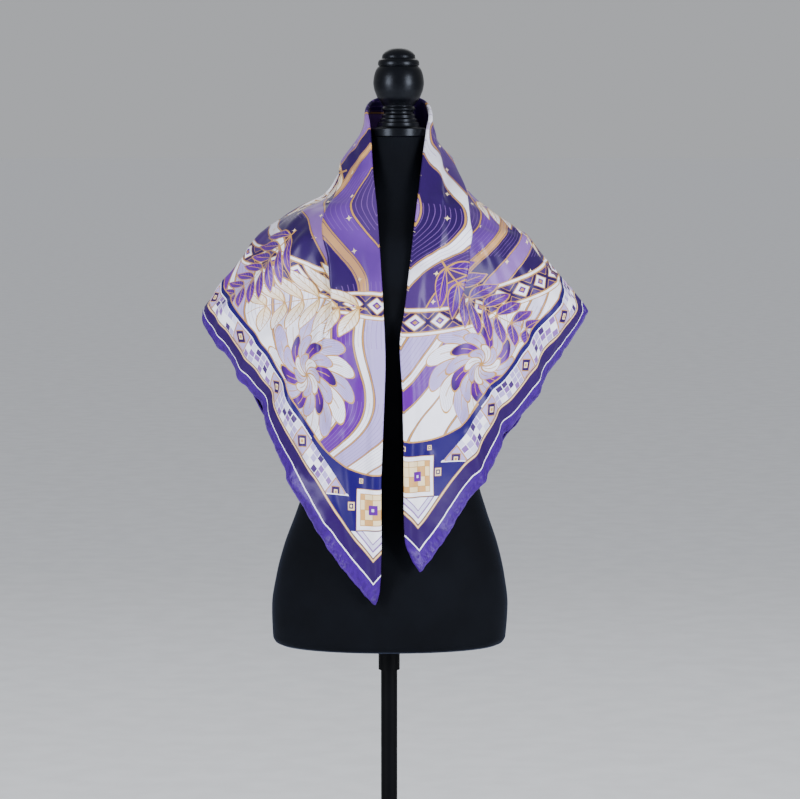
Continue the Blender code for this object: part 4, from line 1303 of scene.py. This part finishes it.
    def waves(self) -> Group:
        """Broad flowing bands: a colour ramp over t carried along two sines of s.

        The second sine is quicker and lower. Hatching comes where a third one is high.
        """
        quicker, lower, rim = 2.3, 0.35, 1.7
        streak_pace, streak_swing, streak_middle, streak_limit = 3.1, 0.22, 0.24, 0.2
        group = Group("wave_print", "colour line across hatch rim",
                      phase=0.0, slope=0.0, length=0.5, swing=0.05)
        s, t = group.flat_pair()
        turn = (s / group.number("length") + group.number("phase")) * (2 * math.pi)
        shift = turn.math("SINE") * group.number("swing")
        shift = shift + (turn * quicker).math("COSINE") * (group.number("swing") * lower)
        across = (t + s * group.number("slope") + shift) / self.wave_pitch
        place = across.share()
        thin = self.line / self.wave_pitch
        off_edge = abs(place - 1.0)
        for edge, _ in self.wave_edges:
            off_edge = off_edge.least(abs(place - edge))
        fine = (across * (self.wave_pitch / self.hatch_pitch)).in_cell()
        streak = (turn * streak_pace).math("SINE") * streak_swing + streak_middle
        return group.put(colour=place.steps(*self.wave_edges), line=off_edge.below(thin),
                         rim=off_edge.below(thin * rim), across=across,
                         hatch=(fine.near(0.0, self.hatch_line) * streak.above(streak_limit)
                                * self.hatch_strength))

    def rosette(self) -> Group:
        """A ring of whirled petals round a centre.

        In polar terms r and turn, f = petals * turn + twist * r/radius counts the petals, and
        each ends where r = radius * (1 - round x^2), x being its place across from -0.5 to 0.5.
        """
        round_off, rim, rib, rib_span = 0.9, 0.8, 0.4, (0.55, 0.25)
        veins_across, veins_bent, vein, vein_span = 7.0, 4.0, 0.10, (0.72, 0.24)
        group = Group("rosette_print", "mask line number share hatch",
                      centre_s=0.0, centre_t=0.0, radius=0.1, petals=12.0, twist=1.0)
        s, t = group.centred()
        radius, petals = group.number("radius"), group.number("petals")
        away = hypot(s, t)
        turn = t.math("ARCTAN2", s) / (2 * math.pi)
        share = away / radius
        count = turn * petals + share * group.number("twist")
        place = count.in_cell()
        tip = radius * (place * place * -round_off + 1.0) - away
        width = away * (2 * math.pi) / petals
        side = (abs(place) * -1.0 + 0.5) * width
        middle = (abs(place) * width).near(0.0, self.line * rib) * share.near(*rib_span)
        line = tip.least(side).near(0.0, self.line * rim).most(middle)
        fine = (place * veins_across + share * place * veins_bent).in_cell().near(0.0, vein)
        return group.put(mask=tip.above(0.0), line=line, number=count.cell(), share=share,
                         hatch=fine * share.near(*vein_span) * self.vein_strength)

    def spray(self) -> Group:
        """A bent stem with leaves in pairs.

        u runs along the stem and v off it, less a bend of u (length - u). Leaves stand one a
        pitch, slanted forward, each as wide as sin(pi y) of its own length, and shorter towards
        the stem's tip.
        """
        slant, spacing, fullness, shorter, least_leaf = 0.85, 0.46, 0.44, 0.6, 0.18
        rim, rib, rib_to, stalk, taper, leafy = 0.65, 0.4, 0.8, 0.9, 0.7, (0.45, 0.5)
        veins_along, veins_across, vein = 7.0, 6.0, 0.09
        group = Group("spray_print", "mask line hatch share",
                      centre_s=0.0, centre_t=0.0, turn=0.0, length=0.2, leaf=0.04, bend=0.0)
        s, t = group.centred()
        turn, length, leaf = (group.number(key) for key in ("turn", "length", "leaf"))
        cosine, sine = turn.math("COSINE"), turn.math("SINE")
        u = s * cosine + t * sine
        v = t * cosine - s * sine
        v = v - u * (length - u) * group.number("bend")
        along = u / length
        inside = along.near(0.5, 0.5)
        away = abs(v)
        pitch = leaf * spacing
        place = (u - away * slant) / pitch
        start = (place.cell() + 0.5) * pitch / length
        lean = math.sqrt(1 + slant * slant)
        own = leaf * (start * start * -shorter + 1.0) * start.near(*leafy)
        reach = away * lean / own
        half = (reach.least(1.0) * math.pi).math("SINE") * (pitch * fullness / lean)
        side = abs(place.in_cell()) * (pitch / lean)
        real = own.above(leaf * least_leaf)
        leaf_mask = half.above(side) * reach.below(1.0) * real
        outline = (half - side).near(0.0, self.line * rim) * reach.below(1.0) * real
        midrib = side.near(0.0, self.line * rib) * reach.below(rib_to) * real
        stem = away.near(0.0, (along * -taper + 1.0) * (self.line * stalk)) * inside
        fine = (reach * veins_along - side / pitch * veins_across).in_cell().near(0.0, vein)
        return group.put(mask=leaf_mask.most(stem), line=outline.most(midrib).most(stem),
                         hatch=fine * leaf_mask * self.vein_strength, share=reach)

    @staticmethod
    def studs() -> Group:
        """Small four-pointed studs in staggered rows.

        Each is (|x| + |y|) / size + waist |x y| / size^2 < 1 in its own cell.
        """
        waist, drift = 6.0, 0.17
        group = Group("stud_print", "mask", pitch=0.05, size=0.0035)
        s, t = group.flat_pair()
        pitch = group.number("pitch")
        row = t / pitch
        stagger = (row.cell() * 0.5).share()
        x = abs((s / pitch + stagger + row * drift).in_cell()) * pitch
        y = abs(row.in_cell()) * pitch
        size = group.number("size")
        star = (x + y) / size + (x * y) / (size * size) * waist
        return group.put(mask=star.below(1.0))

    def ring_band(self) -> Group:
        """An oval ring of lozenges between gold lines.

        Its distance is hypot(s, squash (t - centre)) less the radius, and the lozenges are
        counted by the turn round it.
        """
        group = Group("lozenge_ring_print", "colour mask within", centre_s=0.0, centre_t=0.0)
        s, t = group.centred()
        t = t * self.ring_squash
        away = hypot(s, t) - self.ring_radius
        turn = t.math("ARCTAN2", s) * (
            round(self.ring_radius / self.ring_pitch * math.pi) / math.pi)
        lozenge = abs(turn.in_cell()) + abs(away) / self.ring_reach
        colour = lozenge.steps(*self.ring_inks)
        edge = abs(away)
        for place, reach, ink in self.ring_lines:
            colour = edge.near(place, reach).over(colour, ink)
        return group.put(colour=colour, mask=edge.below(self.ring_half), within=away.below(0.0))


# ---- finishes


def new_material(name: str) -> tuple[bpy.types.Material, bpy.types.NodeTree, bpy.types.Node]:
    """A material with its tree and its Principled shader."""
    made = bpy.data.materials.new(name)
    made.use_nodes = True
    return made, made.node_tree, made.node_tree.nodes["Principled BSDF"]


def uv_term(tree: bpy.types.NodeTree) -> Term:
    """The cloth's own flat coordinates."""
    node = tree.nodes.new("ShaderNodeUVMap")
    node.uv_map = "flat_cloth"
    return Term(tree, node.outputs[0])


def object_term(tree: bpy.types.NodeTree) -> Term:
    """The place on the object, in metres."""
    return Term(tree, tree.nodes.new("ShaderNodeTexCoord").outputs["Object"])


def feed_all(node: bpy.types.Node, values: dict[str, Paint | float]) -> None:
    """Links or sets a node's own sockets, by name."""
    for name, value in values.items():
        feed(node.inputs[name], value)


def noise_term(vector: Term, scale: float, detail: float = 3.0) -> Term:
    """A noise texture over a vector."""
    node = vector.tree.nodes.new("ShaderNodeTexNoise")
    feed_all(node, {"Scale": scale, "Detail": detail, "Vector": vector})
    return Term(vector.tree, node.outputs["Fac"])


def bump(height: Term, depth: float) -> Term:
    """The normal over a height in units of depth metres."""
    node = height.tree.nodes.new("ShaderNodeBump")
    feed_all(node, {"Strength": 1.0, "Distance": depth, "Height": height})
    return Term(height.tree, node.outputs[0])


@dataclass(frozen=True)
class Rosette:
    """Where a whirled rosette is printed, and its rings as (share of radius, petals, twist)."""

    s: float
    t: float
    radius: float
    twist: float
    rings: tuple[tuple[float, float], ...] = ((1.0, 14.0), (0.64, 12.0), (0.34, 8.0))


@dataclass(frozen=True)
class Spray:
    """Where a spray of leaves is printed: its foot, turn, length, leaf length and bend."""

    s: float
    t: float
    turn: float
    length: float
    leaf: float
    bend: float
    dark: bool = False


ROSETTES = (
    Rosette(-0.425, 0.105, 0.075, 1.6),
    Rosette(0.445, 0.095, 0.078, -1.7),
    Rosette(0.010, 0.445, 0.085, 1.5),
    Rosette(-0.020, 0.170, 0.105, -1.5),
)
SPRAYS = (
    Spray(-0.330, 0.010, 1.75, 0.200, 0.056, -1.4),
    Spray(-0.250, 0.130, 2.20, 0.170, 0.046, 1.8, True),
    Spray(-0.130, 0.030, 1.95, 0.200, 0.044, -1.6),
    Spray(0.412, 0.205, 2.15, 0.100, 0.040, -1.2),
    Spray(0.300, 0.020, 0.95, 0.190, 0.052, -1.6, True),
    Spray(0.215, 0.100, 0.95, 0.150, 0.042, 1.5),
    Spray(0.120, 0.030, 1.20, 0.200, 0.046, 1.8),
    Spray(-0.120, 0.330, 0.40, 0.230, 0.046, 1.5),
    Spray(0.000, 0.530, 1.5708, 0.085, 0.034, 0.0),
)


@dataclass(frozen=True)
class SilkFinish:
    """Printed silk twill."""

    design: PrintDesign
    roughness: float = 0.30
    specular: float = 0.20
    gloss_tint: Colour = (0.74, 0.68, 1.00)
    weave_depth: float = 0.00004
    weave_scale: float = 700.0
    crinkle: float = 55.0
    crinkle_scale: float = 150.0
    # Painted shade in the hem's crinkles: the crinkle noise's start, gain and darkest share.
    painted_crinkle_shade: tuple[float, float, float] = (0.45, 3.8, 0.62)
    dye_scale: float = 9.0
    dye: tuple[float, float, float] = (0.46, 1.8, 0.30)
    dye_outside: float = 0.2
    pale: Ramp = (
        (0.0, Ink.MAUVE), (0.4, Ink.WHITE), (1.0, Ink.WHITE))
    deep: Ramp = (
        (0.0, Ink.VIOLET), (0.6, Ink.PURPLE), (1.0, Ink.DEEP_VIOLET))
    other: Ramp = ((0.0, Ink.PALE), (1.0, Ink.LAVENDER))

    def ground(self, flat: Term, band: dict[str, Term]) -> Term:
        """The flowing bands, in their darker inks and with studs inside the oval ring."""
        design = self.design
        wave = design.waves().use(flat, phase=0.15, slope=0.32, length=0.47, swing=0.055)
        places = (at for at, _ in design.wave_edges)
        shade = wave["across"].share().steps(*zip(places, design.shade_inks))
        colour = band["within"].over(wave["colour"], shade)
        colour = wave["hatch"].over(colour, Ink.MAUVE)
        studs = design.studs().use(flat, pitch=0.038, size=0.0042)
        colour = (studs["mask"] * band["within"]).over(colour, Ink.CREAM)
        colour = wave["rim"].over(colour, Ink.SLATE)
        return wave["line"].over(colour, Ink.GOLD)

    def ring(self, group: Group, flat: Term, under: Term, rosette: Rosette, order: int) -> Term:
        """One ring of petals over what is under it."""
        share, petals = rosette.rings[order]
        out = group.use(flat, centre_s=rosette.s, centre_t=rosette.t,
                        radius=rosette.radius * share, petals=petals, twist=rosette.twist)
        light = out["share"].steps(*(self.deep if order == 1 else self.pale), smooth_steps=True)
        odd = abs(out["number"].math("MODULO", 2.0)).near(1.0, 0.1)
        other = out["share"].steps(*self.other, smooth_steps=True)
        petal = out["hatch"].over(odd.over(light, other), Ink.VIOLET)
        return out["line"].over(out["mask"].over(under, petal), Ink.GOLD)

    @staticmethod
    def leaves(group: Group, flat: Term, under: Term, spray: Spray) -> Term:
        """One spray of leaves over what is under it."""
        out = group.use(flat, centre_s=spray.s, centre_t=spray.t, turn=spray.turn,
                        length=spray.length, leaf=spray.leaf, bend=spray.bend)
        first, last, veins = ((Ink.VIOLET, Ink.PURPLE, Ink.MAUVE) if spray.dark
                              else (Ink.CREAM, Ink.WHITE, Ink.GOLD))
        leaf = out["share"].steps((0.0, first), (1.0, last), smooth_steps=True)
        colour = out["hatch"].over(out["mask"].over(under, leaf), veins)
        return out["line"].over(colour, Ink.GOLD)

    def material(self) -> bpy.types.Material:
        """The finish as a material: the print's layers over one another, and a fine weave."""
        made, tree, shader = new_material("printed_silk")
        flat = uv_term(tree)
        band = self.design.ring_band().use(flat, centre_s=0.030, centre_t=-0.020)
        colour = self.ground(flat, band)
        rings = self.design.rosette()
        for rosette in ROSETTES:
            for order in range(len(rosette.rings)):
                colour = self.ring(rings, flat, colour, rosette, order)
        colour = band["mask"].over(colour, band["colour"])
        sprays = self.design.spray()
        for spray in SPRAYS:
            colour = self.leaves(sprays, flat, colour, spray)
        dye = noise_term(flat, self.dye_scale).held(*self.dye)
        colour = (dye * (band["within"] + self.dye_outside)).over(colour, Ink.DEEP_VIOLET)
        border = self.design.border().use(flat)
        colour = border["mask"].over(colour, border["colour"])
        rumple = noise_term(flat, self.crinkle_scale)
        # Painted shade: near the hem the colour darkens towards deep violet where the crinkle noise
        # is high, standing for shadow in the crinkles.
        painted_crinkle_shade = rumple.held(*self.painted_crinkle_shade) * border["edge"].math("SQRT")
        colour = painted_crinkle_shade.over(colour, Ink.DEEP_VIOLET)
        weave = noise_term(flat, self.weave_scale, detail=2.0)
        height = weave + rumple * border["edge"] * self.crinkle
        feed_all(shader, {"Base Color": colour, "Roughness": self.roughness,
                          "Specular IOR Level": self.specular, "Specular Tint": self.gloss_tint,
                          "Normal": bump(height, self.weave_depth)})
        return made


@dataclass(frozen=True)
class PlainFinish:
    """A plain colour with a fine grain."""

    name: str
    colour: Colour
    roughness: float
    specular: float
    sheen: float = 0.0
    sheen_roughness: float = 0.4
    sheen_tint: Colour = (1.0, 1.0, 1.0)
    gloss_tint: Colour = (1.0, 1.0, 1.0)
    patch_scale: float = 14.0
    patch_ends: tuple[float, float] = (0.3, 0.7)
    grain_scale: float = 900.0
    grain_depth: float = 0.00003
    mottle: float = 0.25

    def material(self) -> bpy.types.Material:
        """The finish as a material."""
        made, tree, shader = new_material(self.name)
        place = object_term(tree)
        patch = noise_term(place, self.patch_scale, detail=4.0)
        inks = [tuple(min(1.0, channel * (1 + change)) for channel in self.colour)
                for change in (-self.mottle, self.mottle)]
        feed_all(shader, {
            "Base Color": patch.steps(*zip(self.patch_ends, inks), smooth_steps=True),
            "Roughness": self.roughness, "Specular IOR Level": self.specular,
            "Specular Tint": self.gloss_tint, "Sheen Weight": self.sheen,
            "Sheen Roughness": self.sheen_roughness, "Sheen Tint": self.sheen_tint,
            "Normal": bump(noise_term(place, self.grain_scale), self.grain_depth)})
        return made


HEM_SILK = PlainFinish("rolled_silk", (0.040, 0.004, 0.168), 0.38, sheen=0.03, mottle=0.20,
                       specular=0.22)
VELVET = PlainFinish("black_velvet", (0.0019, 0.0024, 0.0040), 0.80, specular=0.06, sheen=0.12,
                     sheen_roughness=0.30, sheen_tint=(0.36, 0.48, 0.90), grain_scale=1400.0,
                     grain_depth=0.0002)
CAP_BLACK = PlainFinish("black_lacquer", (0.0012, 0.0014, 0.0022), 0.31, specular=0.17,
                        gloss_tint=(0.78, 0.84, 1.0))
METAL = PlainFinish("black_metal", (0.0016, 0.0017, 0.0024), 0.5, specular=0.04)


# ---- form and stand


def dress_stand(form: DressForm) -> None:
    """Makes the bust, its neck cap and the stand, and says what they stand for."""
    made = {finish: finish.material() for finish in (VELVET, CAP_BLACK, METAL)}
    rows = (
        ("bust_velvet", form.bust_grid(), VELVET, "bust", True),
        ("neck_cap_turned", form.cap_grid(), CAP_BLACK, "neck_cap", True),
        ("sleeve", form.sleeve_grid(), METAL, "pole_sleeve", False),
        ("stand_pole", form.pole_grid(), METAL, "pole", True),
        ("stand_base", form.base_grid(), METAL, "base", True),
    )
    for name, grid, finish, node, caps in rows:
        mesh = grid_mesh(name, grid, wrap=True, caps=caps)
        mesh.set_sharp_from_angle(angle=math.radians(form.sharp_above))
        piece = new_object(name, mesh, made[finish])
        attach(piece, "root")
        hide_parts(node)
        LOG.info("%s stands for %s", name, node)


# ---- the studio


@dataclass(frozen=True)
class SoftBox:
    """A soft light: its place, its two sides, its power and its colour."""

    name: str
    place: tuple[float, float, float]
    sides: tuple[float, float]
    watts: float
    colour: Colour = (0.94, 0.97, 1.0)


@dataclass
class Studio:
    """A pale floor, soft light from tall boxes at both sides, and the camera."""

    target: tuple[float, float, float] = (0.014, 0.0, 0.734)
    distance: float = 4.2
    pitch: float = math.radians(4.5)
    width: float = 1.024
    horizon: Colour = (0.450, 0.460, 0.480)
    overhead: Colour = (0.540, 0.550, 0.575)
    haze_ends: tuple[float, float] = (0.06, 0.75)
    floor_size: float = 400.0
    floor: PlainFinish = PlainFinish("pale_floor", (0.84, 0.85, 0.87), 0.9, mottle=0.03,
                                     specular=0.1)
    lit_height: float = 0.85
    boxes: tuple[SoftBox, ...] = (
        SoftBox("left_box", (-2.2, -2.1, 1.25), (1.1, 1.8), 120.0),
        SoftBox("right_box", (2.2, -2.1, 1.25), (1.1, 1.8), 146.0),
        SoftBox("back_box", (0.0, 2.6, 2.4), (2.4, 1.2), 10.0, (1.0, 1.0, 1.0)),
    )

    def camera(self) -> None:
        """The camera looks along +Y, tilted down, with `width` metres across at the target."""
        data = bpy.data.cameras.new("camera")
        data.sensor_width = 36.0
        data.sensor_fit = "HORIZONTAL"
        data.lens = data.sensor_width * self.distance / self.width
        made = bpy.data.objects.new("camera", data)
        made.location = (self.target[0], -self.distance * math.cos(self.pitch),
                         self.target[2] + self.distance * math.sin(self.pitch))
        made.rotation_euler = (math.pi / 2 - self.pitch, 0.0, 0.0)
        bpy.context.scene.collection.objects.link(made)
        bpy.context.scene.camera = made

    def light(self, box: SoftBox) -> None:
        """Puts up a soft box that faces the cloth."""
        data = bpy.data.lights.new(box.name, "AREA")
        data.shape, data.size, data.size_y = "RECTANGLE", *box.sides
        data.energy, data.color = box.watts, box.colour
        made = bpy.data.objects.new(box.name, data)
        made.location = box.place
        made.visible_camera = False
        made.rotation_euler = aim(np.array([0.0, 0.0, self.lit_height]) - np.array(box.place))
        bpy.context.scene.collection.objects.link(made)

    def build(self) -> None:
        """Makes the floor, the world, the lights and the camera."""
        half = self.floor_size / 2
        corners = np.array([[[-half, -half, 0], [-half, half, 0]],
                            [[half, -half, 0], [half, half, 0]]], dtype=float)
        new_object("floor", grid_mesh("floor", corners), self.floor.material())
        world = bpy.data.worlds.new("studio")
        bpy.context.scene.world = world
        world.use_nodes = True
        tree = world.node_tree
        height = object_term(tree).parts()[2]
        sky = height.steps(*zip(self.haze_ends, (self.horizon, self.overhead)),
                           smooth_steps=True)
        feed(tree.nodes["Background"].inputs[0], sky)
        for box in self.boxes:
            self.light(box)
        self.camera()


def aim(toward: Array) -> tuple[float, float, float]:
    """Euler angles that turn a light's -Z to a direction."""
    flat = math.hypot(toward[0], toward[1])
    return (math.atan2(flat, -toward[2]), 0.0, math.atan2(toward[1], toward[0]) - math.pi / 2)


# ---- main


def main() -> None:
    """Builds the classes in order and keeps the sizes before and after."""
    logging.basicConfig(level=logging.INFO, format="%(name)s: %(message)s")
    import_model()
    form = DressForm()
    dress_stand(form)
    drape = Drape(form)
    design = PrintDesign(drape.diagonal)
    SilkSquare(drape).build(SilkFinish(design).material(), HEM_SILK.material())
    Studio().build()


if __name__ == "__main__":
    main()
